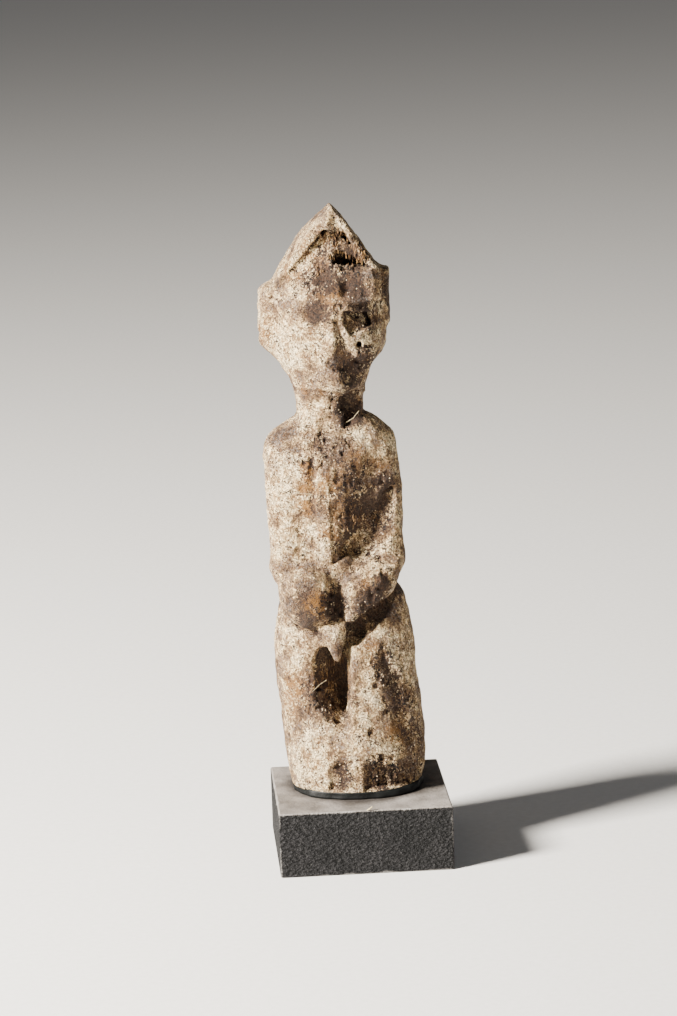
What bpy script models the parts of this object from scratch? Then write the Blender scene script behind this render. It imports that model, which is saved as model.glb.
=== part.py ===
"""Carved wooden doll standing on a painted display block.

The doll is cut from one round branch. Two steel pins hold it to the block, through a thin bed of black
mounting wax. Run with: blender --background --python part.py

Frame: metres, +Z up, the doll faces -Y. The origin is the centre of the block's underside.
"""

import math

import bmesh
import bpy
from mathutils import Matrix, Vector

MM = 0.001

# Driving dimensions, in millimetres.
BLOCK_WIDTH = 50.0
BLOCK_DEPTH = 50.0
BLOCK_HEIGHT = 19.0
BLOCK_ARRIS = 0.5
CONTACT_GAP = 0.3
WAX_THICKNESS = 1.0
PIN_RADIUS = 1.5
PIN_CHAMFER = 0.3
PIN_SPACING = 20.0
PIN_IN_BLOCK = 12.0
PIN_IN_DOLL = 14.0
DOLL_AXIS_Y = 4.0

# Levels that follow from them.
WAX_BOTTOM = BLOCK_HEIGHT + CONTACT_GAP
WAX_TOP = WAX_BOTTOM + WAX_THICKNESS
SOLE = WAX_TOP + CONTACT_GAP
BORE_RADIUS = PIN_RADIUS + CONTACT_GAP
PIN_BOTTOM = BLOCK_HEIGHT - PIN_IN_BLOCK
PIN_TOP = SOLE + PIN_IN_DOLL
PIN_CENTRES = [(side * PIN_SPACING / 2, DOLL_AXIS_Y) for side in (-1, 1)]

# Mesh fineness.
VOXEL = 0.9
RING_POINTS = 36
ROUND_SEGMENTS = 24
DOLL_TRIANGLE_SHARE = 0.09
SMOOTHING_PASSES = 4

# The branch's outline, from the sole to the tip of the crest. Each row is one level:
# (height above the block, middle x, half width, reach to the front, reach to the back, roundness).
# Reaches are from the doll's axis. A roundness of 2 is an ellipse, less is keeled, more is squarer.
OUTLINE = [
    (0.0, -0.3, 18.2, 16.2, 16.8, 2.1),
    (4.0, -0.5, 19.4, 17.4, 18.0, 2.1),
    (9.0, -0.7, 20.0, 18.0, 18.6, 2.1),
    (16.0, -1.3, 20.2, 17.0, 18.4, 2.2),
    (26.0, -1.9, 20.3, 16.2, 18.0, 2.3),
    (36.0, -3.0, 20.3, 15.6, 18.2, 2.3),
    (46.0, -3.5, 20.1, 14.4, 17.8, 2.3),
    (53.0, -3.4, 19.0, 12.8, 15.8, 2.3),
    (59.0, -3.8, 17.6, 11.6, 13.2, 2.2),
    (64.0, -4.4, 16.4, 10.6, 12.0, 2.1),
    (76.0, -4.7, 15.6, 11.0, 11.8, 1.9),
    (88.0, -5.0, 16.0, 12.2, 12.4, 1.8),
    (96.0, -5.3, 17.6, 12.6, 12.8, 1.9),
    (102.0, -5.3, 18.8, 11.2, 12.4, 2.1),
    (105.6, -5.0, 17.6, 10.2, 11.4, 2.1),
    (109.0, -4.2, 13.8, 9.4, 10.4, 2.0),
    (111.5, -4.5, 10.4, 9.0, 10.0, 2.0),
    (115.0, -4.9, 9.8, 9.4, 9.8, 2.0),
    (118.5, -5.1, 10.2, 12.0, 10.4, 1.9),
    (122.0, -5.5, 11.6, 15.0, 11.6, 1.8),
    (126.0, -5.9, 13.8, 16.2, 13.2, 1.8),
    (131.0, -6.2, 16.2, 16.6, 15.0, 1.8),
    (138.0, -5.8, 17.0, 16.4, 16.2, 1.9),
    (145.0, -5.4, 16.8, 15.8, 16.6, 2.1),
    (150.0, -4.8, 15.4, 15.2, 16.2, 2.4),
    (154.0, -4.5, 13.2, 14.2, 15.2, 2.6),
    (158.0, -4.3, 10.8, 12.6, 13.8, 2.6),
    (162.5, -4.1, 8.0, 10.8, 12.0, 2.6),
    (167.0, -3.9, 5.0, 9.4, 9.6, 2.4),
    (170.4, -3.8, 2.4, 8.0, 7.4, 2.2),
    (172.2, -3.8, 1.0, 6.4, 5.4, 2.0),
]

# Rounded masses that stand proud of that outline: (centre x, y, height, radii x, y, z, turn about Y).
SWELLINGS = {
    "left_upper_arm": (-18.4, 2.6, 83.0, 6.2, 8.6, 22.0, 0),
    "right_upper_arm": (8.6, 2.6, 83.0, 6.2, 8.6, 22.0, -2),
    "left_forearm": (-14.4, -3.8, 61.4, 9.0, 8.2, 7.6, 34),
    "right_forearm": (4.8, -3.8, 60.6, 10.6, 8.4, 7.0, -40),
    "right_brow": (4.6, -7.3, 149.6, 5.8, 4.0, 5.2, 0),
    "left_cheek": (-12.0, -6.4, 133.5, 7.0, 4.4, 7.4, 0),
    "right_cheek": (4.8, -5.4, 132.0, 6.0, 4.4, 5.8, 0),
    "left_shin": (-15.4, -5.6, 30.0, 5.6, 7.6, 18.0, 0),
    "right_shin": (3.6, -5.8, 30.0, 5.8, 7.6, 18.0, -3),
    "left_buttock": (-11.4, 12.8, 48.0, 9.0, 8.0, 10.4, 0),
    "right_buttock": (5.0, 12.8, 48.0, 9.0, 8.0, 10.4, 0),
}

# Straight-sided masses: (centre x, y, height, size x, y, z, turn about Y), with soft edges.
SLABS = {
    "left_ear": (-21.8, 3.8, 139.6, 5.6, 9.0, 19.0, 0),
    "right_ear": (10.2, 3.8, 144.8, 5.8, 9.0, 18.0, 0),
    "hood_left": (-10.8, 0.0, 159.8, 4.2, 20.0, 27.0, 38),
    "hood_right": (2.5, 0.0, 162.2, 4.2, 20.0, 21.0, -38),
    "nose": (-3.3, -10.8, 136.0, 4.6, 4.4, 13.0, 2),
}
SLAB_SOFTNESS = 1.8

# Hollows that the carver, rot and insects left: (centre x, y, height, radii x, y, z, turn about Y).
HOLLOWS = {
    "between_legs": (-7.2, -9.6, 32.0, 5.2, 9.6, 11.2, 0),
    "between_hands": (-6.6, -12.6, 59.6, 2.9, 6.4, 7.6, 0),
    "right_of_belly": (5.8, -9.4, 79.6, 3.8, 5.0, 12.2, 30),
    "left_of_belly": (-13.8, -8.8, 86.0, 1.9, 4.0, 13.0, 0),
    "behind_right_shin": (10.6, -11.6, 28.0, 2.2, 4.4, 14.6, -8),
    "right_eye": (3.8, -10.6, 139.6, 4.4, 6.0, 3.3, 0),
    "left_eye": (-8.8, -13.4, 143.4, 3.8, 3.6, 3.2, 0),
    "under_crest": (2.8, -9.0, 156.4, 5.6, 5.2, 1.9, 0),
    "forehead": (-4.6, -13.4, 154.6, 8.6, 5.0, 9.4, 0),
    "left_instep": (-6.4, -15.6, 6.6, 3.0, 4.4, 5.0, 15),
    "right_instep": (5.8, -15.2, 7.0, 5.8, 4.6, 4.2, -25),
}

# The pointed end of what the hands hold, a cone that points down.
HELD_POINT = (-5.8, -7.2, 47.0)
HELD_POINT_RADIUS = 5.0
HELD_POINT_TIP_RADIUS = 0.6
HELD_POINT_LENGTH = 13.0

# The wax follows the sole a little way in from its edge.
WAX_HALF_WIDTH = 17.2
WAX_HALF_DEPTH = 16.6
WAX_LIP = 0.3

# A cutter passes this far through the face that it opens.
OVERRUN = 5.0


def clear_scene():
    for item in list(bpy.data.objects):
        bpy.data.objects.remove(item, do_unlink=True)


def new_collection(name):
    made = bpy.data.collections.new(name)
    bpy.context.scene.collection.children.link(made)
    return made


def new_material(name, colour, roughness, metallic=0.0):
    made = bpy.data.materials.new(name)
    made.use_nodes = True
    shader = made.node_tree.nodes["Principled BSDF"]
    shader.inputs["Base Color"].default_value = (*colour, 1.0)
    shader.inputs["Roughness"].default_value = roughness
    shader.inputs["Metallic"].default_value = metallic
    return made


def to_object(shape, name, collection):
    """The bmesh, drawn in millimetres, as an object in metres."""
    bmesh.ops.scale(shape, vec=(MM, MM, MM), verts=shape.verts)
    mesh = bpy.data.meshes.new(name)
    shape.to_mesh(mesh)
    shape.free()
    made = bpy.data.objects.new(name, mesh)
    collection.objects.link(made)
    return made


def as_cutter(cutter):
    cutter.hide_render = True
    cutter.display_type = "WIRE"


def placed(x, y, z, turn):
    return Matrix.Translation((x, y, z)) @ Matrix.Rotation(math.radians(turn), 4, "Y")


def add_ellipsoid(shape, x, y, height, rx, ry, rz, turn):
    place = placed(x, y, BLOCK_HEIGHT + height, turn) @ Matrix.Diagonal((rx, ry, rz, 1))
    bmesh.ops.create_uvsphere(shape, u_segments=20, v_segments=12, radius=1.0, matrix=place)


def add_soft_slab(shape, x, y, height, width, depth, length, turn):
    place = placed(x, y, BLOCK_HEIGHT + height, turn) @ Matrix.Diagonal((width, depth, length, 1))
    corners = bmesh.ops.create_cube(shape, size=1.0, matrix=place)["verts"]
    edges = list({edge for corner in corners for edge in corner.link_edges})
    bmesh.ops.bevel(
        shape, geom=edges, offset=SLAB_SOFTNESS, segments=2, affect="EDGES", profile=0.5, clamp_overlap=True
    )


def add_upright(shape, x, y, bottom, top, radius, top_radius=None):
    """A closed cylinder, or a cone frustum where the top has its own radius."""
    bmesh.ops.create_cone(
        shape,
        cap_ends=True,
        segments=ROUND_SEGMENTS,
        radius1=radius,
        radius2=radius if top_radius is None else top_radius,
        depth=top - bottom,
        matrix=Matrix.Translation((x, y, (bottom + top) / 2)),
    )


def ring_point(angle, half_width, front, back, roundness):
    """A point of a superellipse whose front and back reaches differ."""
    across, along = math.cos(angle), math.sin(angle)
    reach = front if along < 0 else back
    power = 2.0 / roundness
    return (
        half_width * math.copysign(abs(across) ** power, across),
        reach * math.copysign(abs(along) ** power, along),
    )


def add_outline(shape):
    """The branch: a loft through the levels of OUTLINE, closed at both ends."""
    rings = []
    for height, middle, half_width, front, back, roundness in OUTLINE:
        ring = []
        for step in range(RING_POINTS):
            angle = 2 * math.pi * step / RING_POINTS
            x, y = ring_point(angle, half_width, front, back, roundness)
            ring.append(shape.verts.new((middle + x, DOLL_AXIS_Y + y, BLOCK_HEIGHT + height)))
        rings.append(ring)
    for lower, upper in zip(rings, rings[1:]):
        for step in range(RING_POINTS):
            after = (step + 1) % RING_POINTS
            shape.faces.new((lower[step], lower[after], upper[after], upper[step]))
    shape.faces.new(reversed(rings[0]))
    shape.faces.new(rings[-1])


def make_hollows(collection):
    for name, numbers in HOLLOWS.items():
        shape = bmesh.new()
        add_ellipsoid(shape, *numbers)
        as_cutter(to_object(shape, "hollow_" + name, collection))


def make_joinery(collection):
    """What is cut last: the flat sole and the two blind pin bores."""
    shape = bmesh.new()
    below = Matrix.Translation((0, DOLL_AXIS_Y, SOLE - BLOCK_WIDTH / 2))
    bmesh.ops.create_cube(shape, size=BLOCK_WIDTH, matrix=below)
    as_cutter(to_object(shape, "cut_sole", collection))
    for side, (x, y) in zip(("left", "right"), PIN_CENTRES):
        shape = bmesh.new()
        add_upright(shape, x, y, SOLE - OVERRUN, PIN_TOP + CONTACT_GAP, BORE_RADIUS)
        as_cutter(to_object(shape, "cut_doll_bore_" + side, collection))


def cut_with(target, name, collection):
    cut = target.modifiers.new(name, "BOOLEAN")
    cut.operation = "DIFFERENCE"
    cut.operand_type = "COLLECTION"
    cut.collection = collection
    cut.solver = "EXACT"


def fuse(target, name):
    """Melts overlapping shells into one skin."""
    skin = target.modifiers.new(name, "REMESH")
    skin.mode = "VOXEL"
    skin.voxel_size = VOXEL * MM


def make_doll(collection, hollows, joinery, wood):
    shape = bmesh.new()
    add_outline(shape)
    for numbers in SWELLINGS.values():
        add_ellipsoid(shape, *numbers)
    for numbers in SLABS.values():
        add_soft_slab(shape, *numbers)
    x, y, height = HELD_POINT
    tip = BLOCK_HEIGHT + height - HELD_POINT_LENGTH / 2
    add_upright(shape, x, y, tip, tip + HELD_POINT_LENGTH, HELD_POINT_TIP_RADIUS, HELD_POINT_RADIUS)
    doll = to_object(shape, "carved_doll", collection)
    doll.data.materials.append(wood)
    fuse(doll, "Fuse masses")
    cut_with(doll, "Carve hollows", hollows)
    fuse(doll, "Fuse carving")
    soften = doll.modifiers.new("Soften", "SMOOTH")
    soften.iterations = SMOOTHING_PASSES
    lighten = doll.modifiers.new("Lighten", "DECIMATE")
    lighten.ratio = DOLL_TRIANGLE_SHARE
    cut_with(doll, "Sole and bores", joinery)
    return doll


def make_block(collection, paint):
    shape = bmesh.new()
    middle = Matrix.Translation((0, 0, BLOCK_HEIGHT / 2))
    size = Matrix.Diagonal((BLOCK_WIDTH, BLOCK_DEPTH, BLOCK_HEIGHT, 1))
    bmesh.ops.create_cube(shape, size=1.0, matrix=middle @ size)
    block = to_object(shape, "display_block", collection)
    block.data.materials.append(paint)
    arris = block.modifiers.new("Arris", "BEVEL")
    arris.width = BLOCK_ARRIS * MM
    arris.segments = 2
    return block


def make_block_bores(collection):
    for side, (x, y) in zip(("left", "right"), PIN_CENTRES):
        shape = bmesh.new()
        add_upright(shape, x, y, PIN_BOTTOM - CONTACT_GAP, BLOCK_HEIGHT + OVERRUN, BORE_RADIUS)
        as_cutter(to_object(shape, "cut_block_bore_" + side, collection))


def make_wax_bed(collection, wax):
    """The wax squeezed out under the sole, a thin pad with the pins through it."""
    shape = bmesh.new()
    add_upright(shape, 0, 0, WAX_BOTTOM, WAX_TOP, 1.0)
    bmesh.ops.scale(shape, vec=(WAX_HALF_WIDTH, WAX_HALF_DEPTH, 1.0), verts=shape.verts)
    bmesh.ops.translate(shape, vec=(0, DOLL_AXIS_Y, 0), verts=shape.verts)
    bed = to_object(shape, "wax_bed", collection)
    bed.data.materials.append(wax)
    lip = bed.modifiers.new("Lip", "BEVEL")
    lip.width = WAX_LIP * MM
    lip.segments = 2
    lip.limit_method = "ANGLE"
    return bed


def make_wax_bores(collection):
    for side, (x, y) in zip(("left", "right"), PIN_CENTRES):
        shape = bmesh.new()
        add_upright(shape, x, y, WAX_BOTTOM - OVERRUN, WAX_TOP + OVERRUN, BORE_RADIUS)
        as_cutter(to_object(shape, "cut_wax_bore_" + side, collection))


def make_pins(collection, steel):
    for side, (x, y) in zip(("left", "right"), PIN_CENTRES):
        shape = bmesh.new()
        add_upright(shape, 0, 0, 0, PIN_TOP - PIN_BOTTOM, PIN_RADIUS)
        pin = to_object(shape, "mounting_pin_" + side, collection)
        pin.location = Vector((x, y, PIN_BOTTOM)) * MM
        pin.data.materials.append(steel)
        pin.data.shade_smooth()
        chamfer = pin.modifiers.new("Chamfer", "BEVEL")
        chamfer.width = PIN_CHAMFER * MM
        chamfer.segments = 1
        chamfer.limit_method = "ANGLE"


def main():
    clear_scene()
    parts = new_collection("mounted_doll")
    hollows = new_collection("cutters_hollows")
    joinery = new_collection("cutters_doll_joinery")
    block_bores = new_collection("cutters_block_bores")
    wax_bores = new_collection("cutters_wax_bores")
    wood = new_material("weathered_wood", (0.50, 0.42, 0.33), 0.85)
    paint = new_material("slate_grey_paint", (0.055, 0.055, 0.06), 0.6)
    wax = new_material("black_mounting_wax", (0.012, 0.014, 0.014), 0.35)
    steel = new_material("bright_steel_rod", (0.62, 0.62, 0.63), 0.35, 1.0)
    make_hollows(hollows)
    make_joinery(joinery)
    make_block_bores(block_bores)
    make_wax_bores(wax_bores)
    make_doll(parts, hollows, joinery, wood)
    cut_with(make_block(parts, paint), "Pin bores", block_bores)
    cut_with(make_wax_bed(parts, wax), "Pin bores", wax_bores)
    make_pins(parts, steel)


main()
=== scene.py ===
# %% [markdown]
# # A weathered carved doll on its display block
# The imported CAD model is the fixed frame: it says where the block, the wax, the pins and the doll are,
# and how large they are. Everything made here goes round that frame and only adds the looks.

# %% Load the frame
import math

import bpy
import numpy as np
from mathutils import Matrix, Vector


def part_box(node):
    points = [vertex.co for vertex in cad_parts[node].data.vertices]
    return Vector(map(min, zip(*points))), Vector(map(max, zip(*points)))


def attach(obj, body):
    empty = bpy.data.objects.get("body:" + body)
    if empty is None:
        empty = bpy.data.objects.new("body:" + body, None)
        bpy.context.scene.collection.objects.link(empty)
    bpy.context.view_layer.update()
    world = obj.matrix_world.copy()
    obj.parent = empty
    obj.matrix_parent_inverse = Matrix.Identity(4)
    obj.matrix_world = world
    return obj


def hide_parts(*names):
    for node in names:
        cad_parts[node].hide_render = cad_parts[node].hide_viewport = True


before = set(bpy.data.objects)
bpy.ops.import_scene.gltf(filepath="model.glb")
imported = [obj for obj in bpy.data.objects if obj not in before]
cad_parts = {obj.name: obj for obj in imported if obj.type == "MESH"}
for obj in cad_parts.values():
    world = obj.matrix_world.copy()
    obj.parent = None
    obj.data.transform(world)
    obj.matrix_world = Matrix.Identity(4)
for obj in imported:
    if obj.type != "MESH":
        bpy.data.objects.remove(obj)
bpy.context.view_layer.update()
MM = 0.001
BLOCK_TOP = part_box("display_block")[1].z / MM
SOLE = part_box("carved_doll")[0].z / MM
print("block top", round(BLOCK_TOP, 2), "sole", round(SOLE, 2), "mm")

# %% [markdown]
# ## The camera
# A long lens a little over a metre away keeps upright edges nearly parallel. It stands a few degrees to
# the left of the doll's front, looks slightly down, and is rolled by two degrees, so the doll seems to
# lean.

# %% Camera
CAMERA_PLACE = Vector((-0.0643, -1.0358, 0.3252))
CAMERA_TURN = math.radians(3.36)
CAMERA_PITCH = math.radians(12.12)
CAMERA_ROLL = math.radians(-1.92)
SENSOR = 36.0
FOCAL_LENGTH = 130.68


def put(name, data):
    """Puts a new object in the scene, at the origin."""
    thing = bpy.data.objects.new(name, data)
    bpy.context.scene.collection.objects.link(thing)
    return thing


lens = bpy.data.cameras.new("portrait_lens")
lens.sensor_width = SENSOR
lens.lens = FOCAL_LENGTH
camera = put("camera", lens)
camera.location = CAMERA_PLACE
aim = Matrix.Rotation(-CAMERA_TURN, 4, "Z") @ Matrix.Rotation(math.pi / 2 - CAMERA_PITCH, 4, "X")
camera.rotation_mode = "QUATERNION"
camera.rotation_quaternion = (aim @ Matrix.Rotation(CAMERA_ROLL, 4, "Z")).to_quaternion()
bpy.context.scene.camera = camera
print("lens", round(lens.lens, 1), "mm")

# %% [markdown]
# ## A block of air to carve in
# A doll like this is cut from a branch with a few tools, so it is built the same way: soft masses are
# added and hollows are cut away in a field of distances. The field is a grid of numbers, negative inside
# the wood. Adding two masses keeps the smaller distance, cutting keeps the larger, and a little
# softness where they meet gives the worn junctions that old wood has.

# %% The grid and its tools
GRID = 0.4
GRID_LOW = (-28.0, -18.0, -1.0)
GRID_HIGH = (23.0, 27.0, 174.0)
AIR = 30.0

lines = [np.arange(low, high, GRID, dtype=np.float32) for low, high in zip(GRID_LOW, GRID_HIGH)]
field = np.full([len(line) for line in lines], AIR, np.float32)
print("grid", field.shape, "of", GRID, "mm")


def window(low, high):
    """The part of the grid between two corners: its slices and its three coordinate arrays."""
    spans = []
    for bottom, top, line in zip(low, high, lines):
        first = int(np.clip((bottom - line[0]) / GRID, 0, len(line) - 1))
        last = int(np.clip((top - line[0]) / GRID + 2, 1, len(line)))
        spans.append(slice(first, last))
    x = lines[0][spans[0], None, None]
    y = lines[1][None, spans[1], None]
    z = lines[2][None, None, spans[2]]
    return tuple(spans), x, y, z


def smooth_min(a, b, softness):
    overlap = np.maximum(softness - np.abs(a - b), 0) / softness
    return np.minimum(a, b) - overlap * overlap * softness / 4


def add(spans, distance, softness):
    field[spans] = smooth_min(field[spans], distance, softness)


def cut(spans, distance, softness):
    field[spans] = -smooth_min(-field[spans], distance, softness)


def weigh(step):
    """Prints how much wood there is after a step."""
    print(step, "done:", round(float((field < 0).sum()) * GRID**3 / 1000, 1), "cm3 of wood")


# %% [markdown]
# ## The carver's shapes
# Six tools are enough. A ball, a limb with round ends, a soft slab, facets (whatever lies behind a few
# flat knife cuts) and a trunk for the branch itself can each be added or cut. The sixth only sinks an
# area of the skin by a few millimetres, and its floor keeps the old shape.

# %% Shapes
def turned(x, y, z, centre, tilt):
    """Coordinates about a centre, after turns by tilt degrees about the upright axis (last number), the
    side-to-side axis (middle number) and the front-to-back axis (first number)."""
    x, y, z = x - centre[0], y - centre[1], z - centre[2]
    about_y, about_x, about_z = (math.radians(angle) for angle in tilt)
    x, y = x * math.cos(about_z) + y * math.sin(about_z), -x * math.sin(about_z) + y * math.cos(about_z)
    y, z = y * math.cos(about_x) + z * math.sin(about_x), -y * math.sin(about_x) + z * math.cos(about_x)
    x, z = x * math.cos(about_y) - z * math.sin(about_y), x * math.sin(about_y) + z * math.cos(about_y)
    return x, y, z


def ball(shape, centre, radii, tilt=(0, 0, 0), softness=2.0):
    """An ellipsoid."""
    reach = max(radii) + softness + 2
    spans, x, y, z = window([c - reach for c in centre], [c + reach for c in centre])
    x, y, z = turned(x, y, z, centre, tilt)
    inner = np.sqrt((x / radii[0]) ** 2 + (y / radii[1]) ** 2 + (z / radii[2]) ** 2)
    outer = np.sqrt((x / radii[0] ** 2) ** 2 + (y / radii[1] ** 2) ** 2 + (z / radii[2] ** 2) ** 2)
    shape(spans, inner * (inner - 1) / np.maximum(outer, 1e-6), softness)


def limb(shape, start, end, start_radius, end_radius, softness=2.0):
    """A round rod whose radius changes along its length."""
    reach = max(start_radius, end_radius) + softness + 2
    low = [min(a, b) - reach for a, b in zip(start, end)]
    high = [max(a, b) + reach for a, b in zip(start, end)]
    spans, x, y, z = window(low, high)
    along = [b - a for a, b in zip(start, end)]
    length = sum(a * a for a in along)
    x, y, z = x - start[0], y - start[1], z - start[2]
    share = np.clip((x * along[0] + y * along[1] + z * along[2]) / length, 0, 1)
    away = np.sqrt((x - share * along[0]) ** 2 + (y - share * along[1]) ** 2 + (z - share * along[2]) ** 2)
    shape(spans, away - (start_radius + (end_radius - start_radius) * share), softness)


def furrow(line, start_radius, end_radius, softness):
    """Cuts a limb along each stretch of a line."""
    for start, end in zip(line, line[1:]):
        limb(cut, start, end, start_radius, end_radius, softness)


def slab(shape, centre, size, tilt=(0, 0, 0), edge=1.0, softness=1.0):
    """A box with rounded edges."""
    reach = math.hypot(*size) / 2 + softness + 2
    spans, x, y, z = window([c - reach for c in centre], [c + reach for c in centre])
    x, y, z = turned(x, y, z, centre, tilt)
    out = [np.abs(value) - (side / 2 - edge) for value, side in zip((x, y, z), size)]
    outside = np.sqrt(sum(np.maximum(value, 0) ** 2 for value in out))
    inside = np.minimum(np.maximum(np.maximum(out[0], out[1]), out[2]), 0)
    shape(spans, outside + inside - edge, softness)


def behind(low, high, planes, x, y, z, ease):
    """Distance to what lies behind every plane inside the box from low to high. A plane is a point and the
    way it faces, and ease rounds the edges between planes."""
    distance = np.maximum(np.maximum(low[0] - x, x - high[0]), np.maximum(low[1] - y, y - high[1]))
    distance = np.maximum(distance, np.maximum(low[2] - z, z - high[2]))
    for point, facing in planes:
        size = math.hypot(*facing)
        plane = sum((axis - p) * (f / size) for axis, p, f in zip((x, y, z), point, facing))
        distance = -smooth_min(-distance, -plane, ease)
    return distance


def facets(shape, low, high, planes, softness=0.8, ease=0.3):
    """The solid behind a few flat knife cuts."""
    spans, x, y, z = window([c - 3 for c in low], [c + 3 for c in high])
    shape(spans, behind(low, high, planes, x, y, z, ease), softness)


def sink(low, high, planes, depths, edge=0.6, ease=0.8):
    """Lowers the skin inside the planes, so the floor follows the old shape. depths are at the bottom and at
    the top of the box, and edge is how wide the step at the border is."""
    spans, x, y, z = window([c - 3 for c in low], [c + 3 for c in high])
    share = np.clip(-behind(low, high, planes, x, y, z, ease) / edge, 0, 1)
    field[spans] += share * np.maximum(np.interp(z, (low[2], high[2]), depths), 0).astype(np.float32)


def trunk(shape, rows, axis_y, keel_drift=0.0, softness=2.0, ease=1.5):
    """A mass from rows of (height, middle x, half width, front reach, back reach, front roundness, back
    roundness). A roundness of 2 is an ellipse, less is keeled and more is boxy. The keel stands
    keel_drift to the right of the middle."""
    heights = [row[0] for row in rows]
    spans, x, y, z = window((-99, -99, heights[0] - 3), (99, 99, heights[-1] + 3))
    level = z.ravel()
    soft = max(1, int(ease / GRID) | 1)

    def eased(column):
        plain = np.interp(level, heights, [row[column] for row in rows])
        padded = np.pad(plain, soft // 2, mode="edge")
        return np.convolve(padded, np.ones(soft) / soft, "valid").astype(np.float32)[None, None, :]

    middle, half, front, back, keen, blunt = (eased(column) for column in range(1, 7))
    along = y - axis_y
    reach = np.where(along < 0, front, back)
    power = np.where(along < 0, keen, blunt)
    across = x - middle - keel_drift * np.clip(-along / front, 0, 1) ** 1.5
    measure = ((np.abs(across) / half) ** power + (np.abs(along) / reach) ** power) ** (1 / power)
    radius = np.sqrt(across**2 + along**2) / np.maximum(measure, 1e-3)
    side = (measure - 1) * np.where(measure < 0.2, np.minimum(half, reach), radius)
    shape(spans, np.maximum(side, np.maximum(heights[0] - z, z - heights[-1])), softness)


# %% [markdown]
# ## Head
# The face comes forward to a keel at the nose, so its levels are pinched at the front. The crest is a
# steep gable with a level ridge that runs back, made of knife facets, with thick square ears below it.

# %% Head and crest
AXIS_Y = 4.0
HEAD = [
    (113.6, -4.9, 9.0, 8.6, 9.6, 2.0, 2.0),
    (116.8, -4.9, 9.5, 9.8, 10.0, 1.9, 2.0),
    (118.4, -5.0, 9.9, 13.4, 10.6, 1.8, 2.0),
    (120.8, -5.1, 10.8, 15.4, 11.6, 1.75, 2.1),
    (123.2, -5.2, 11.9, 16.0, 12.4, 1.75, 2.1),
    (125.5, -5.3, 13.3, 16.6, 13.2, 1.7, 2.2),
    (127.8, -5.1, 15.4, 16.9, 14.2, 1.7, 2.2),
    (130.4, -5.2, 16.8, 17.0, 15.0, 1.7, 2.2),
    (133.4, -5.1, 17.2, 16.8, 15.6, 1.75, 2.3),
    (137.0, -5.4, 17.2, 16.6, 16.2, 1.75, 2.3),
    (143.0, -5.3, 16.8, 16.0, 16.4, 1.8, 2.4),
    (148.0, -5.1, 15.6, 15.2, 16.2, 1.9, 2.4),
    (153.0, -4.6, 13.4, 13.6, 15.2, 2.0, 2.4),
    (158.0, -4.4, 10.4, 11.6, 12.6, 2.0, 2.4),
    (163.0, -4.2, 7.0, 9.4, 8.6, 2.0, 2.4),
    (168.0, -3.8, 3.0, 6.8, 2.6, 2.0, 2.2),
]
CREST = [
    ((-3.15, 0, 171.4), (-0.739, 0, 0.674)),
    ((-11.3, 0, 162.2), (-0.857, 0, 0.514)),
    ((-20.0, 0, 150.0), (-1, 0, 0.05)),
    ((-2.5, 0, 170.8), (0.739, 0, 0.674)),
    ((1.2, 0, 166.2), (0.832, 0, 0.555)),
    ((9.9, 0, 153.0), (1, 0, 0.05)),
    ((0, 0, 171.5), (0.05, 0, 1)),
    ((-4.6, -10.4, 158), (-0.52, -0.85, 0.06)),
    ((-2.6, -10.8, 158), (0.0, -1, 0.07)),
    ((-0.6, -10.4, 158), (0.26, -0.94, 0.18)),
    ((0, 5.0, 170.6), (0, 0.78, 0.62)),
    ((0, 16.6, 156), (0, 1, 0.1)),
    ((-16.0, 16.0, 150), (-0.6, 0.8, 0)),
    ((6.0, 16.0, 150), (0.6, 0.8, 0)),
    ((0, 0, 147.0), (0, 0.3, -1)),
]
trunk(add, HEAD, AXIS_Y, keel_drift=2.2)
facets(add, (-24, -13, 145), (14, 20, 172), CREST, softness=1.2)
slab(add, (-21.2, 3.6, 139.6), (5.0, 8.4, 17.8), tilt=(-1, 0, 8), edge=2.0, softness=3.2)
slab(add, (10.7, 3.6, 144.4), (5.0, 8.4, 16.2), tilt=(2.5, 0, -6), edge=1.2, softness=2.4)
weigh("head and crest")

# %% [markdown]
# ## Face
# Weather has eaten the right eye into a hole and the left into a shallow scar. The forehead under the
# crest has rotted back to fibres, and a slot runs in under it above the right brow. These are all sunk
# into the skin, so that their floors follow the head.

# %% Forehead
LEFT_RIM = ((-12.2, 0, 157.6), (-0.771, 0, 0.637))
RIGHT_RIM = ((4.7, 0, 157.7), (0.846, 0, 0.533))
UNDER_FACET = ((-2.6, 0, 165.0), (0.17, 0, 0.985))
sink((-24, -20, 145), (14, 0, 170), [LEFT_RIM, RIGHT_RIM, UNDER_FACET], (-0.5, 4.0), edge=0.7, ease=0.5)
sink((-12, -20, 160), (8, 0, 172), [LEFT_RIM, RIGHT_RIM], (0.5, 0.7), edge=0.4, ease=0.4)
slab(add, (4.2, -6.6, 149.6), (10.8, 6.8, 8.8), tilt=(-1, 6, -16), edge=2.2, softness=1.8)
CREST_SLOT = [
    ((-0.6, 0, 158.6), (0.477, 0, 0.879)),
    ((1.6, 0, 154.6), (-0.1, 0, -1)),
    ((-3.2, 0, 157.0), (-0.95, 0, 0.3)),
]
facets(cut, (-6, -18, 152), (7.2, -3.4, 160), CREST_SLOT, softness=0.5, ease=0.9)
ball(cut, (0.2, -11.8, 149.6), (1.8, 2.2, 3.8), tilt=(14, 0, 0), softness=1.6)
weigh("forehead")

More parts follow.
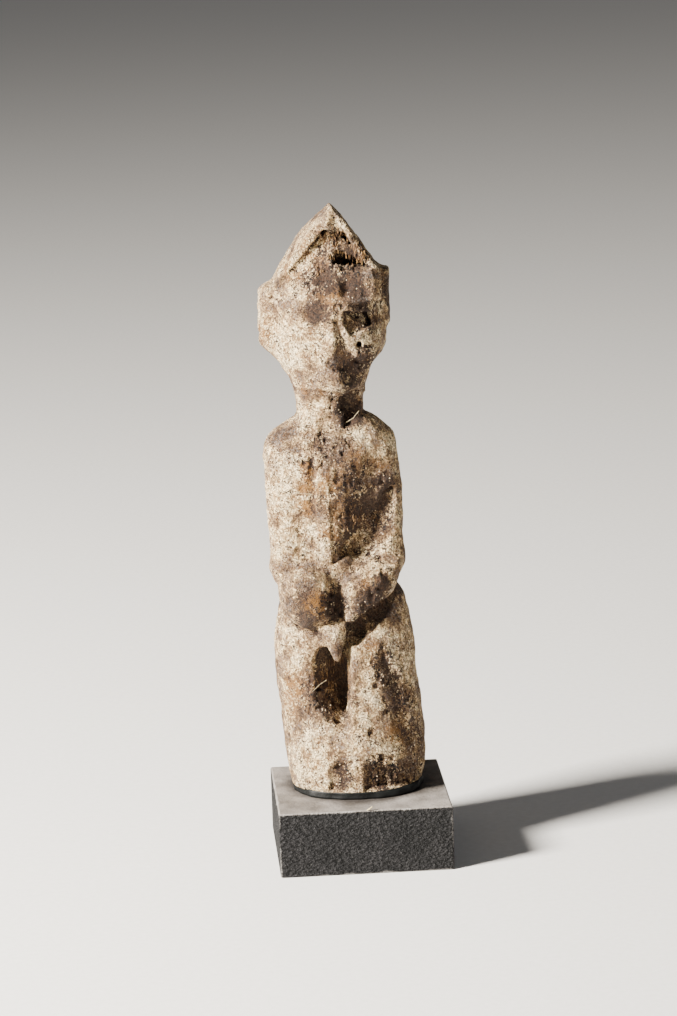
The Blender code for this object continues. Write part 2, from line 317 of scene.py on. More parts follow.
# %% Eyes, nose, cheek and mouth
RIGHT_EYE = [
    ((-1.2, 0, 141.0), (-1, 0, 0.06)),
    ((-0.4, 0, 137.2), (-0.86, 0, -0.5)),
    ((1.2, 0, 135.2), (0.34, 0, -0.94)),
    ((6.9, 0, 139.4), (0.95, 0, 0.3)),
    ((2.4, 0, 142.1), (0.12, 0, 1)),
]
sink((-4, -18, 132), (10, 3, 146), RIGHT_EYE, (2.0, 3.2), edge=0.5, ease=0.5)
LEFT_EYE = [
    ((-12.4, 0, 143), (-1, 0, 0.1)),
    ((-3.8, 0, 143), (0.97, 0, 0.25)),
    ((-11.8, 0, 139.0), (0.23, 0, -0.97)),
]
sink((-15, -18, 138), (-2, 2, 149), LEFT_EYE, (1.3, 0.0), edge=1.5, ease=1.6)
limb(add, (-11.6, -8.8, 138.7), (-5.0, -11.4, 140.6), 0.7, 0.6, softness=1.2)
limb(add, (-3.8, -10.8, 142.0), (-5.0, -11.9, 131.8), 0.9, 1.9, softness=2.5)
limb(cut, (-2.4, -13.0, 139.0), (-1.0, -12.4, 127.0), 1.1, 1.6, softness=1.2)
ball(add, (2.6, -6.8, 132.4), (4.8, 3.4, 6.0), softness=4.0)
ball(cut, (3.3, -12.0, 132.7), (0.55, 3.0, 0.55), softness=0.2)
ball(cut, (-3.6, -12.6, 126.8), (3.2, 1.2, 1.0), tilt=(8, 0, 0), softness=1.2)
ball(cut, (2.4, -10.4, 124.4), (3.6, 2.0, 3.6), softness=2.5)
JAW_LINE = [(-14.4, -2.4, 120.0), (-8.1, -7.4, 118.2), (-2.2, -9.2, 117.3), (4.6, -5.0, 118.6)]
furrow(JAW_LINE, 0.8, 0.8, softness=0.6)
weigh("face")

# %% [markdown]
# ## Neck, chest and arms
# The arms hang close to the body and are only set off by grooves, because the branch was no wider. The
# chest has a keel down its middle, with a drying crack along its lower half.

# %% Neck, torso and arms
TORSO = [
    (56.0, -3.8, 13.0, 9.0, 12.0, 2.0, 2.1),
    (66.0, -4.5, 12.6, 10.4, 11.4, 1.8, 2.1),
    (76.0, -4.8, 13.0, 11.6, 11.4, 1.7, 2.1),
    (86.0, -5.0, 13.6, 12.6, 12.0, 1.7, 2.2),
    (94.0, -5.2, 15.6, 12.6, 12.4, 1.8, 2.3),
    (99.0, -5.3, 17.8, 12.0, 12.4, 2.0, 2.3),
    (102.4, -5.3, 18.9, 11.0, 12.0, 2.1, 2.3),
    (104.6, -5.1, 18.2, 10.2, 11.4, 2.1, 2.3),
    (106.8, -4.9, 16.0, 9.8, 11.0, 2.1, 2.2),
    (109.0, -4.1, 12.5, 9.4, 10.4, 2.0, 2.1),
    (111.0, -4.7, 9.6, 9.2, 10.0, 2.0, 2.0),
    (113.5, -4.6, 9.4, 9.2, 9.8, 2.0, 2.0),
    (120.0, -5.0, 9.7, 9.4, 10.0, 2.0, 2.0),
]
trunk(add, TORSO, AXIS_Y, keel_drift=-1.0, softness=1.5)
UNDER_THE_CHIN = [
    ((-2.0, 0, 114.0), (-0.98, 0, -0.2)),
    ((-0.4, 0, 108.6), (0.72, 0, -0.70)),
    ((-2.2, 0, 117.0), (-0.28, 0.1, 0.96)),
]
facets(cut, (-4, -14, 107), (4.0, -0.4, 121), UNDER_THE_CHIN, softness=1.0, ease=1.6)
limb(add, (-18.2, 1.8, 98.0), (-17.8, 0.6, 66.8), 6.2, 5.5, softness=3.0)
limb(add, (7.9, 2.4, 98.0), (9.5, 1.6, 69.0), 6.1, 5.9, softness=2.5)
BESIDE_THE_KEEL = [
    ((4.2, 0.8, 78.4), (-0.73, 0.44, 0.53)),
    ((4.2, 0.8, 78.4), (0.49, 0.80, -0.35)),
    ((10.6, -3.0, 91.0), (0.65, 0.10, 0.76)),
    ((-1.6, -6.0, 69.8), (-0.59, 0.20, -0.81)),
]
facets(cut, (-4.0, -16, 66), (13, 3, 94), BESIDE_THE_KEEL, softness=1.6, ease=2.0)
limb(cut, (-11.2, -6.9, 99.0), (-11.5, -6.9, 76.0), 0.6, 0.9, softness=2.0)
RIGHT_OF_THE_KEEL = [
    ((-6.8, 0, 90), (-1, 0, -0.02)),
    ((7.6, 0, 90), (0.98, 0, -0.1)),
    ((-2, 0, 69.6), (0.4, 0, -0.92)),
]
sink((-8, -18, 66), (12, -1, 99), RIGHT_OF_THE_KEEL, (1.3, 0.1), edge=0.5, ease=1.0)
limb(cut, (-7.0, -9.0, 85.0), (-6.2, -7.8, 69.0), 0.45, 0.6, softness=0.4)
weigh("torso and arms")

# %% [markdown]
# ## Forearms and hands
# The forearms come forward from the elbows and end in two hand lobes over the belly, with a pointed
# thing held between them. They overhang the thighs, with a crisp edge and a dark gap under it.

# %% Forearms
def set_aside():
    """Empties the grid for a part that is made on its own, and returns what it held."""
    kept = field.copy()
    field[:] = AIR
    return kept


def join(kept, softness):
    field[:] = smooth_min(field, kept, softness)


height = lines[2][None, None, :]
soft_above = np.interp(height, (60, 68), (0.6, 2.4)).astype(np.float32)
body = set_aside()
limb(add, (-17.2, 1.8, 66.4), (-14.6, -3.0, 61.0), 5.4, 6.8, softness=2.0)
ball(add, (-13.3, -5.4, 59.0), (7.7, 7.4, 9.4), tilt=(-8, 0, 0), softness=2.0)
ball(cut, (-5.6, -13.6, 57.6), (2.4, 6.0, 8.0), tilt=(4, 0, 0), softness=0.8)
join(body, soft_above)
RIGHT_HAND = [
    ((-3.9, -10, 58), (-1, -0.14, -0.06)),
    ((5.6, 0, 57.0), (0.693, 0, -0.72)),
    ((-2.4, 0, 50.0), (-0.1, 0.1, -1)),
    ((0.4, -12.3, 57), (0.10, -0.98, -0.16)),
    ((6.4, -10.8, 61), (0.55, -0.83, -0.1)),
    ((2.0, 0, 68.0), (-0.3, -0.3, 1)),
]
body = set_aside()
limb(add, (8.9, 1.8, 67.6), (5.2, -4.2, 62.6), 5.5, 6.2, softness=1.5)
facets(add, (-5, -14, 48), (14, 2, 70), RIGHT_HAND, softness=2.0, ease=3.4)
ball(cut, (4.4, -14.0, 58.6), (3.2, 2.0, 4.4), tilt=(38, 0, 0), softness=1.5)
join(body, soft_above)
ball(cut, (-6.5, -12.0, 57.6), (2.0, 5.0, 7.6), softness=1.0)
weigh("forearms and hands")

# %% [markdown]
# ## Hips, legs and foot
# The legs are two columns with a deep slot between them, and they end in one round foot. What the hands
# hold hangs over the slot as a point with two flat faces.

# %% Hips and legs
LEGS = [
    (0.4, -0.4, 18.8, 17.8, 17.0, 2.1, 2.1),
    (2.4, -0.5, 19.4, 18.0, 17.8, 2.1, 2.1),
    (6.0, -0.6, 20.1, 18.0, 18.4, 2.1, 2.1),
    (11.0, -0.7, 20.5, 17.8, 18.6, 2.1, 2.1),
    (17.0, -1.1, 20.7, 17.0, 18.4, 2.1, 2.2),
    (26.0, -1.5, 20.6, 16.2, 17.6, 2.1, 2.3),
    (36.0, -2.7, 20.6, 15.2, 17.6, 2.1, 2.3),
    (46.0, -3.2, 20.1, 13.2, 17.4, 2.2, 2.3),
    (51.0, -3.1, 19.2, 11.6, 15.8, 2.2, 2.3),
    (57.5, -3.3, 17.9, 8.4, 13.2, 2.2, 2.2),
    (62.0, -4.2, 15.8, 6.6, 11.6, 2.2, 2.2),
]
BETWEEN_THE_LEGS = [
    ((-13.4, -9.4, 37), (-0.80, 0.60, 0)),
    ((-12.9, -9.6, 29), (-0.66, 0.52, -0.54)),
    ((-6.8, -12.2, 19.0), (0.15, 0.42, -0.88)),
    ((-1.9, -11.6, 34), (0.99, 0.12, -0.04)),
    ((-12.0, -9.0, 43.4), (-0.35, 0, 0.94)),
]
RIGHT_OF_THE_POINT = [
    ((-1.9, -11.6, 34), (0.99, 0.12, -0.04)),
    ((-5.2, -11.0, 46), (-0.98, 0.1, 0)),
]
body = set_aside()
trunk(add, LEGS, AXIS_Y, softness=0.1)
facets(cut, (-17, -18, 14), (-1, 0.6, 50), BETWEEN_THE_LEGS, softness=1.0, ease=2.4)
facets(cut, (-6, -18, 30), (-1, -1.0, 54), RIGHT_OF_THE_POINT, softness=0.8, ease=0.8)
limb(cut, (13.4, -2.2, 60.6), (-0.6, -6.6, 47.8), 2.6, 3.6, softness=0.6)
GROOVE = [(6.4, -11.0, 41.0), (10.9, -9.3, 34.5), (11.8, -10.0, 25.0), (15.0, -8.6, 17.6)]
furrow(GROOVE, 2.4, 2.6, softness=1.6)
UNDER_THE_LOBE = [(-19.4, -1.6, 54.5), (-15.8, -5.6, 50.4), (-11.6, -7.7, 48.6), (-8.0, -8.3, 48.4)]
furrow(UNDER_THE_LOBE, 1.3, 1.3, softness=1.0)
ball(add, (-11.4, 13.0, 48.0), (9.0, 7.6, 10.0), softness=3.0)
ball(add, (4.8, 13.0, 48.0), (9.0, 7.6, 10.0), softness=3.0)
limb(cut, (-3.2, 21.8, 52.0), (-2.0, 23.4, 10.0), 1.6, 2.0, softness=3.0)
join(body, 0.5)
limb(cut, (-4.9, 17.6, 98.0), (-4.4, 16.8, 62.0), 1.4, 1.8, softness=3.0)
HELD_POINT = [
    ((-10.8, 0, 49.0), (-0.90, 0, -0.43)),
    ((-2.7, 0, 48.4), (0.97, 0, -0.243)),
    ((-6.4, -11.6, 46), (-0.50, -0.86, -0.12)),
    ((-6.4, -11.6, 46), (0.60, -0.80, -0.12)),
    ((-6.4, -11.6, 49.6), (0, -0.5, 0.87)),
]
facets(add, (-12, -15, 38.6), (-1, -3, 56), HELD_POINT, softness=0.8, ease=1.8)
weigh("hips and legs")

# %% [markdown]
# ## Foot
# Two shallow hollows at the front leave an upright strip between them, like the gap between two feet, and
# a short notch stands over it. Both hollows leave a narrow rim at the sole.

# %% Foot
LEFT_HOLLOW = [((-6.0, -12, 13), (-0.6, 0, 0.8))]
RIGHT_HOLLOW = [((1.1, -13, 13), (0.5, 0, 0.9))]
sink((-9.9, -18, 1.8), (-3.7, 2, 14), LEFT_HOLLOW, (1.8, 0.3), edge=1.5, ease=3.0)
sink((0.2, -18, 1.8), (14.5, 2, 14), RIGHT_HOLLOW, (2.0, 0.3), edge=1.5, ease=3.0)
limb(cut, (-4.4, -14.0, 19.4), (-5.4, -14.0, 13.4), 0.7, 1.0, softness=0.5)
weigh("foot")

# %% [markdown]
# ## Weather
# Rain, insects and rot work on such a piece for decades. The whole skin is uneven at the size of a knife
# cut, fine vertical checks open along the grain, and some places have rotted to a sponge. The rotten
# places are balls with soft edges, broken up by smooth random lumps.

# %% Weather tools
def lumps(cell, seed):
    """Smooth random numbers over the grid, about -2 to 2, whose bumps are one cell across, in mm."""
    values = np.random.default_rng(seed).standard_normal(
        [int((line[-1] - line[0]) / size) + 6 for line, size in zip(lines, cell)], dtype=np.float32
    )
    for axis, (line, size) in enumerate(zip(lines, cell)):
        place = (line - line[0]) / size
        first = place.astype(int)
        t = (place - first).astype(np.float32)
        nearest = [(3 * t**3 - 6 * t**2 + 4) / 6, (-3 * t**3 + 3 * t**2 + 3 * t + 1) / 6]
        weights = [(1 - t) ** 3 / 6, *nearest, t**3 / 6]
        shape = [1, 1, 1]
        shape[axis] = -1
        values = sum(np.take(values, first + k, axis) * w.reshape(shape) for k, w in enumerate(weights))
    return values / values.std()


def patches(places):
    """0 to 1 over the grid: 1 in the middle of each place, given as (x, y, height, radius, strength)."""
    total = np.zeros_like(field)
    for px, py, pz, reach, strength in places:
        spans, x, y, z = window((px - reach, py - reach, pz - reach), (px + reach, py + reach, pz + reach))
        away = ((x - px) ** 2 + (y - py) ** 2 + (z - pz) ** 2) / reach**2
        total[spans] = np.maximum(total[spans], strength * np.clip(1 - away, 0, 1))
    return total


ROTTEN = [
    (-4, -8, 159, 9, 0.9), (3, -8, 155, 8, 0.9), (-9, -8, 150, 8, 0.8),
    (-3, -10, 146, 7, 0.5), (4, -10, 149, 7, 0.3), (-8, -9, 143, 7, 0.4),
    (7, -8, 140, 7, 0.7), (5, -10, 126, 8, 1.0), (-1, -12, 125, 6, 0.8),
    (0, -7, 113, 9, 0.7), (-6, -8, 104, 9, 0.7), (-13, -6, 99, 5, 0.5), (2, -8, 92, 9, 0.7),
    (-9, -8, 86, 7, 0.4), (6, -7, 82, 12, 0.9), (-2, -9, 74, 8, 0.6), (7, -7, 69, 8, 0.5),
    (10, -4, 90, 6, 0.9), (-6, -9, 58, 6, 1.0), (5, -11, 56, 8, 1.0), (-5, -11, 46, 5, 0.4),
    (-9, -8, 30, 10, 0.9), (9, -11, 38, 8, 1.0), (13, -9, 27, 8, 0.8), (16, -7, 16, 8, 0.8),
    (3, -13, 20, 5, 0.3), (-6, -14, 7, 6, 0.9), (7, -13, 7, 8, 1.0), (14, -6, 8, 8, 0.6),
    (-4, 20, 120, 30, 0.5), (-8, 18, 80, 22, 0.6), (4, 20, 40, 22, 0.7),
]
rot = np.clip(patches(ROTTEN) * (1 + 0.35 * lumps((3.0, 3.0, 4.0), 11)), 0, 1)
print("rotten share of the grid", round(float(rot.mean()), 3))

# %% [markdown]
# ## The skin gives way
# Each kind of damage is added to the field, and a positive number takes wood away. From coarse to fine:
# knife-sized lumps, calmer on the crest, then drying checks that run up the grain, a sandy grain, holes
# left by insects, and strings of lost wood where it is rotten. The sole stays flat.

# %% Weather the skin
crisp_crest = np.interp(height, (140, 160), (1.0, 0.35)).astype(np.float32)
field += 0.20 * crisp_crest * lumps((7.0, 7.0, 9.0), 1)
field += 0.10 * crisp_crest * lumps((2.8, 2.8, 4.0), 2)
CHECK_WIDTH = 0.08
checks = np.clip(1 - np.abs(lumps((2.2, 2.2, 13.0), 3)) / CHECK_WIDTH, 0, 1)
field += 0.4 * checks * np.clip(lumps((6.0, 6.0, 8.0), 4), 0, 1)
field += (0.07 + 0.13 * rot) * lumps((1.0, 1.0, 1.3), 5)
field += 1.0 * (0.15 + rot) * np.clip(2.4 * lumps((0.8, 0.8, 0.95), 6) - 2.3, 0, 1)
field += 0.6 * np.clip(1.4 * rot - 0.5, 0, 1) * np.clip(lumps((0.8, 0.8, 3.4), 7) - 0.3, 0, 1)
field = np.maximum(field, SOLE - BLOCK_TOP - height)
weigh("weathering")

# %% [markdown]
# ## From field to skin
# A net is stretched over the zero level of the field: one point in every grid cell that the surface
# crosses, at the mean of the crossings on its edges, and one face round every grid edge that it cuts.
# Crumbs that came loose are dropped, so one closed skin is left. Two helpers make a piece from points and
# faces, and settle a piece's modifiers into its mesh.

# %% Surface net
CORNERS = [(i, j, k) for i in (0, 1) for j in (0, 1) for k in (0, 1)]
EDGES = [(a, b) for a in CORNERS for b in CORNERS if sorted(q - p for p, q in zip(a, b)) == [0, 0, 1]]


def corner_of(values, corner):
    return values[tuple(slice(c, values.shape[axis] - 1 + c) for axis, c in enumerate(corner))]


def surface_net(values):
    """Points in grid units and quads, outward, of the surface where values is zero."""
    inside = values < 0
    count = sum(corner_of(inside, corner).astype(np.int8) for corner in CORNERS)
    cells = np.argwhere((count > 0) & (count < 8))
    number = np.full(count.shape, -1, np.int64)
    number[tuple(cells.T)] = np.arange(len(cells))
    total = np.zeros((len(cells), 3))
    hits = np.zeros(len(cells))
    for a, b in EDGES:
        first = values[tuple((cells + a).T)].astype(float)
        second = values[tuple((cells + b).T)].astype(float)
        crossed = (first < 0) != (second < 0)
        share = np.where(crossed, first / np.where(crossed, first - second, 1), 0)
        total += crossed[:, None] * (np.array(a) + share[:, None] * (np.array(b) - np.array(a)))
        hits += crossed
    points = cells + total / hits[:, None]
    quads = []
    for axis in range(3):
        u, v = (axis + 1) % 3, (axis + 2) % 3
        ahead = np.roll(inside, -1, axis)
        trimmed = tuple(slice(1, size - 1) for size in inside.shape)
        for outward in (True, False):
            flips = inside & ~ahead if outward else ~inside & ahead
            places = np.argwhere(flips[trimmed]) + 1
            steps = [(0, 0), (1, 0), (1, 1), (0, 1)]
            ring = []
            for du, dv in steps if outward else reversed(steps):
                cell = places.copy()
                cell[:, u] -= 1 - du
                cell[:, v] -= 1 - dv
                ring.append(number[tuple(cell.T)])
            quads.append(np.stack(ring, 1))
    return points, np.concatenate(quads)


def largest_piece(points, quads):
    """Keeps only the largest connected piece of a net."""
    label = np.arange(len(points))
    while True:
        lowest = label[quads].min(1)
        new = label.copy()
        for column in quads.T:
            np.minimum.at(new, column, lowest)
        new = new[new]
        if (new == label).all():
            break
        label = new
    keep = label == np.bincount(label).argmax()
    renumber = np.cumsum(keep) - 1
    return points[keep], renumber[quads[keep[quads[:, 0]]]]


def to_piece(name, points, faces, material):
    mesh = bpy.data.meshes.new(name)
    mesh.from_pydata(points, [], faces)
    mesh.shade_smooth()
    mesh.materials.append(material)
    return put(name, mesh)


def settle(piece):
    """Applies the piece's modifiers for good."""
    graph = bpy.context.evaluated_depsgraph_get()
    ready = piece.evaluated_get(graph)
    done = bpy.data.meshes.new_from_object(ready, preserve_all_data_layers=True, depsgraph=graph)
    piece.modifiers.clear()
    old, piece.data = piece.data, done
    bpy.data.meshes.remove(old)


points, quads = surface_net(field)
print("net", len(points), "points", len(quads), "faces")
points, quads = largest_piece(points, quads)
places = (points * GRID + np.array(GRID_LOW) + (0, 0, BLOCK_TOP)) * MM

# %% [markdown]
# ## What the skin knows about its place
# Old crust is lost in rotten places, dirt and painted shade darken hollows, and sap and handling stain some
# areas. Each is a number between 0 and 1 on every point of the skin, read from the same grid, for the
# material to use.
# A hollow is where the air nearby is less than half of a small cube round the point.

# %% Numbers on the skin
def blurred(values, reach):
    """The mean over a cube that goes reach mm each way."""
    steps = max(1, round(reach / GRID))
    for axis in range(3):
        pads = [(0, 0)] * 3
        pads[axis] = (steps + 1, steps)
        total = np.cumsum(np.pad(values, pads, mode="edge"), axis=axis, dtype=np.float64)
        count = 2 * steps + 1
        top = np.take(total, range(count, total.shape[axis]), axis)
        values = ((top - np.take(total, range(total.shape[axis] - count), axis)) / count).astype(np.float32)
    return values


def read_grid(values, spots):
    """The grid's values at places in mm, linear between grid points."""
    spots = (spots - np.array(GRID_LOW)) / GRID
    first = np.clip(spots.astype(int), 0, np.array(values.shape) - 2)
    share = np.clip(spots - first, 0, 1)
    total = 0
    for corner in CORNERS:
        weight = np.prod(np.where(corner, share, 1 - share), axis=1)
        total = total + weight * values[tuple((first + corner).T)]
    return total


# %% [markdown]
# ## Where the skin is stained, scarred, dirty and shaded, pale and lit, and fibrous
# Each list holds places as (x, y, height above the block, radius, strength), in millimetres. Ochre is sap
# and handling, scarred is crust worn to grey-brown, the dark list holds dirt and pits and also painted shade
# where shadows fall, pale is whole crust and also painted light on the left side that faces the key light
# and on edges that catch it, and fibrous is torn grain.

# %% Places on the skin
OCHRE = [
    (-8, -8, 156, 7, 0.4), (-4, -10, 147, 6, 0.6), (-12.4, -6, 97, 3.5, 0.9),
    (-12.6, -6, 91, 3.5, 1.0), (-12.8, -6, 85, 3.5, 0.9), (-3, -10, 92, 7, 0.6),
    (-6, -9, 78, 6, 0.4), (2, -9, 97, 7, 0.6), (-9, -9, 90, 6, 0.5), (-1, -9, 84, 8, 0.6),
    (9, -5, 98, 5, 0.5), (-9, -5, 160, 5, 0.4), (-14, -3, 154, 5, 0.4),
    (5, -11, 62, 6, 0.5), (-10.5, -12, 58, 6, 1.0), (4, -12, 60, 5, 0.5),
    (5, -11, 42, 6, 0.5), (11, -9, 18, 6, 0.7), (-4, -2, 34, 9, 0.7), (-16, -6, 30, 6, 0.4),
    (-24, 0, 136, 6, 0.4), (-19, -6, 32, 7, 0.6), (-21, -4, 25, 6, 0.5),
    (-12, -4, 119.5, 2.4, 0.6), (-8, -8, 118.2, 2.4, 0.6), (-3, -9, 117.3, 2.4, 0.6),
]
SCARRED = [
    (4.4, -10, 149.5, 6.5, 1.2), (-7.6, -9, 143, 5.5, 1.5), (-1, -12, 127, 5.5, 0.9),
    (-12, -11, 56, 6, 0.8), (-15, -9, 59, 7, 1.0), (-14, -9, 52.6, 4, 1.0),
    (-14, -10, 36, 7, 0.9), (-18, -6, 54, 6, 0.6), (4, -11, 60, 7, 0.9),
    (-17, -2, 104, 6, 0.8), (0, -9, 98, 7, 0.6), (8, -10, 32, 6, 0.5),
    (-17, -8, 24, 7, 0.6), (-14, -9, 46, 5, 0.5), (-6, -12, 45, 5, 0.6),
    (-2, -9, 84, 6, 0.6),
]
# Painted shade as well as dirt and pits: many of these places sit where shadows fall, under the jaw, beside
# the nose, right of the chest keel, under the hands and in the slot between the legs.
DIRT_PITS_AND_SHADE = [
    (-2, -8, 163.4, 4, 0.9), (-6, -8, 160, 3.5, 0.6), (3, -8, 158, 5, 0.7),
    (3, -6, 154, 5, 0.8), (-1.2, -12, 150, 3, 0.9), (-1.6, -12, 134, 3, 0.5),
    (-8.4, -10, 142.4, 5, 1.0), (-5, -11, 141, 3.4, 0.9), (3, -10, 148.6, 5.5, 1.0),
    (-5, -10, 151, 6, 0.9), (5, -9, 125, 7, 1.15), (1, -10, 142.6, 2.4, 1.2),
    (4.2, -9, 142.6, 2.6, 1.3), (6.6, -8, 141, 2, 1.1), (2, -9, 121, 5.5, 1.2),
    (0.8, -8, 157.4, 3.4, 1.5), (9, -4, 128, 4, 0.7), (1.4, -4, 113, 6, 2.0),
    (2, -7, 83, 5.5, 1.0), (6, -3, 85, 5.5, 1.5), (10, -3, 90, 4.5, 1.4),
    (0.6, -5, 77, 5, 1.4), (9, -3, 83.5, 4.5, 1.0), (-3, -8, 73, 4, 1.0),
    (-6.2, -8, 56, 4.6, 1.6), (-9.5, -12, 56, 5, 0.75), (-14, -10, 54, 5.5, 0.95),
    (-14.5, -10, 61, 5, 0.8), (7, -11, 62, 5.5, 1.05), (-8, -13, 62, 4, 0.8),
    (-17.5, -5, 52.4, 1.9, 1.0), (-14.5, -8, 49.8, 1.9, 1.1), (-11, -9, 48.6, 1.9, 1.1),
    (-13, -11, 34, 5, 0.6), (-11.5, -12, 27.5, 5, 0.6), (6, -11, 58, 7, 1.0),
    (2.6, -12, 53, 5, 1.0), (0, -6, 50, 5, 1.8), (6, -3, 55, 6, 1.8), (12, 0, 60, 5, 1.6),
    (-10.6, -3, 36, 6, 1.6), (-10.4, -4, 41, 4, 1.6), (-5, 1, 34, 9, 0.8),
    (8, -9, 39, 5, 0.6), (12, -8, 33, 5, 0.5), (12.5, -8, 26, 5, 0.45),
    (15, -8, 19, 6, 0.5), (13, 3, 145, 7, 1.5), (-10, -8, 150, 4, 0.5), (8, -12, 7, 6, 0.5),
    (-6.5, -13, 8, 4, 0.7),
]
# Whole crust, and painted light: places on the left side that faces the key light, and edges that catch it,
# such as the ridge of the right hand and the rim of the sole, are painted paler.
PALE_AND_LIT = [
    (-17, -4, 132, 12, 1.0), (-9, -10, 133, 7, 0.8), (-24, 2, 140, 8, 0.6),
    (-14, -3, 154, 7, 0.8), (-8, -5, 163, 6, 0.8), (0, -8, 165.5, 3, 1.0),
    (-10, -5, 112, 7, 1.0), (-17, -5, 90, 9, 1.0), (-20, -4, 78, 8, 0.8),
    (-9, -9, 76, 5, 0.6), (-9, -9, 92, 3.5, 0.7), (12, -3, 104, 6, 0.5),
    (12, -3, 73, 6, 0.9), (-5, -9, 67, 4, 0.6), (7, -9, 68, 6, 0.5),
    (-2.6, -13, 57, 2.6, 1.0), (-17, -9, 44, 9, 0.6), (2, -13, 34, 6, 0.7),
    (2, -14, 24, 6, 0.6), (-14, -12, 10, 9, 0.8), (-1.6, -15, 9, 3.4, 1.2),
    (-4, -14, 0, 3, 1.0),
]
FIBROUS = [
    (-2, -8, 161, 6, 0.9), (3, -8, 158, 5, 0.9), (-8, -8, 155, 4, 0.6), (1, -6, 82, 6, 0.5),
    (-8, -4, 34, 8, 0.5),
]


def number_the_skin(piece, name, values):
    """Keeps a number between 0 and 1 on each point of the piece, under a name."""
    data = piece.data.attributes.new(name, "FLOAT", "POINT").data
    data.foreach_set("value", np.clip(values, 0, 1).astype(np.float32))
    print(name, "mean", round(float(values.mean()), 3))


# %% [markdown]
# ## Colours and nodes
# Colours are written as the hex values a paint chart would give, and turned to the linear values that
# the renderer works in. A finish is a list of rows, one for each node, and one function adds any node
# with its settings and links. A pattern's scale is worked out from its size on the real thing.

# %% Material tools
def linear(code):
    parts = [int(code[i : i + 2], 16) / 255 for i in (1, 3, 5)]
    return (*(p / 12.92 if p <= 0.04045 else ((p + 0.055) / 1.055) ** 2.4 for p in parts), 1.0)


def wire(tree, rows):
    """Adds a node for each row of (name, kind, {socket: what goes in}, {setting: value}). What goes in is a
    number, a hex colour, or the name of an earlier row. The setting out picks the output that a name
    stands for, and ramp gives a colour ramp's stops. Returns the named outputs."""
    outputs = {}
    for name, kind, sockets, settings in rows:
        made = tree.nodes.new(kind)
        for key, value in settings.items():
            if key == "ramp":
                stops = made.color_ramp.elements
                while len(stops) < len(value):
                    stops.new(1.0)
                for stop, (position, code) in zip(stops, value):
                    stop.position, stop.color = position, linear(code)
            elif key != "out":
                setattr(made, key, value)
        for socket, value in sockets.items():
            if isinstance(value, str) and value.startswith("#"):
                made.inputs[socket].default_value = linear(value)
            elif isinstance(value, str) and value in outputs:
                tree.links.new(outputs[value], made.inputs[socket])
            else:
                made.inputs[socket].default_value = value
        if len(made.outputs):
            outputs[name] = made.outputs[settings.get("out", 0)]
            outputs.update({name + "." + socket.name: socket for socket in made.outputs})
    return outputs


def finish_of(name, sockets, rows, colour=None, normal=None, roughness=None):
    """A new material: constant shader sockets, then its rows of nodes, then what goes into the shader."""
    material = bpy.data.materials.new(name)
    material.use_nodes = True
    tree = material.node_tree
    shader = tree.nodes["Principled BSDF"]
    for socket, value in sockets.items():
        shader.inputs[socket].default_value = value
    outputs = wire(tree, rows)
    for socket, row in (("Base Color", colour), ("Normal", normal), ("Roughness", roughness)):
        if row:
            tree.links.new(outputs[row], shader.inputs[socket])
    print("finish", name, len(tree.nodes), "nodes")
    return material


def per_mm(size):
    """The scale of a pattern whose features are size mm across, on coordinates in metres."""
    return 1 / (size * MM)


NOISE, VORONOI, MATH = "ShaderNodeTexNoise", "ShaderNodeTexVoronoi", "ShaderNodeMath"
RANGE, MIX, RAMP = "ShaderNodeMapRange", "ShaderNodeMix", "ShaderNodeValToRGB"
TIMES_PLUS = {"operation": "MULTIPLY_ADD"}
COLOURS = {"data_type": "RGBA", "out": 2}

# %% [markdown]
# ## Weathered wood
# The real surface is dry hardwood under a rain-washed crust of earth and ash: matt, without gloss, pale
# where the crust is whole, and brown, fibrous and full of black pits where it is lost. So two finishes
# are mixed by a broken-edged mask: the crust, mottled over a few millimetres, and the bare wood, with its
# pattern drawn out along the grain. A brown fringe of sap lies along the broken edge. The pits are real
# ones of 0.3 to 0.8 mm.

# %% Patterns of the wood
SKIN_NUMBERS = ("rotten", "scar", "stain", "dark", "pale", "near_hollow", "wide_hollow")
PATTERN_ROWS = [
    ("place", "ShaderNodeTexCoord", {}, {"out": "Object"}),
    ("along_grain", "ShaderNodeMapping", {"Vector": "place", "Scale": (1.0, 1.0, 0.22)}, {}),
    *((key, "ShaderNodeAttribute", {}, {"attribute_name": key, "out": "Fac"}) for key in SKIN_NUMBERS),
    ("cloud", NOISE, {"Vector": "place", "Scale": per_mm(10.0), "Detail": 4.0}, {}),
    ("tone", NOISE, {"Vector": "place", "Scale": per_mm(4.2), "Detail": 5.0, "Roughness": 0.65}, {}),
    ("patch", NOISE, {"Vector": "place", "Scale": per_mm(2.7), "Detail": 5.0, "Roughness": 0.7}, {}),
    ("mottle", NOISE, {"Vector": "place", "Scale": per_mm(1.5), "Detail": 4.0, "Roughness": 0.7}, {}),
    ("grit", NOISE, {"Vector": "place", "Scale": per_mm(0.5), "Detail": 2.0, "Roughness": 0.7}, {}),
    ("grain", NOISE, {"Vector": "along_grain", "Scale": per_mm(0.8), "Detail": 4.0, "Roughness": 0.65}, {}),
    ("cell", VORONOI, {"Vector": "place", "Scale": per_mm(0.75)}, {}),
    ("grains", VORONOI, {"Vector": "place", "Scale": per_mm(0.42)}, {"out": "Color"}),
    ("grain_grey", "ShaderNodeRGBToBW", {"Color": "grains"}, {}),
]
print("patterns", len(PATTERN_ROWS))

# %% [markdown]
# ### Crust
# Earth, ash and lime dry to a chalky crust: cream to grey-brown over a few millimetres, cooler in clouds,
# and speckled by its own grains of about 0.4 mm. Where sap or hands reached it, it turned ochre.

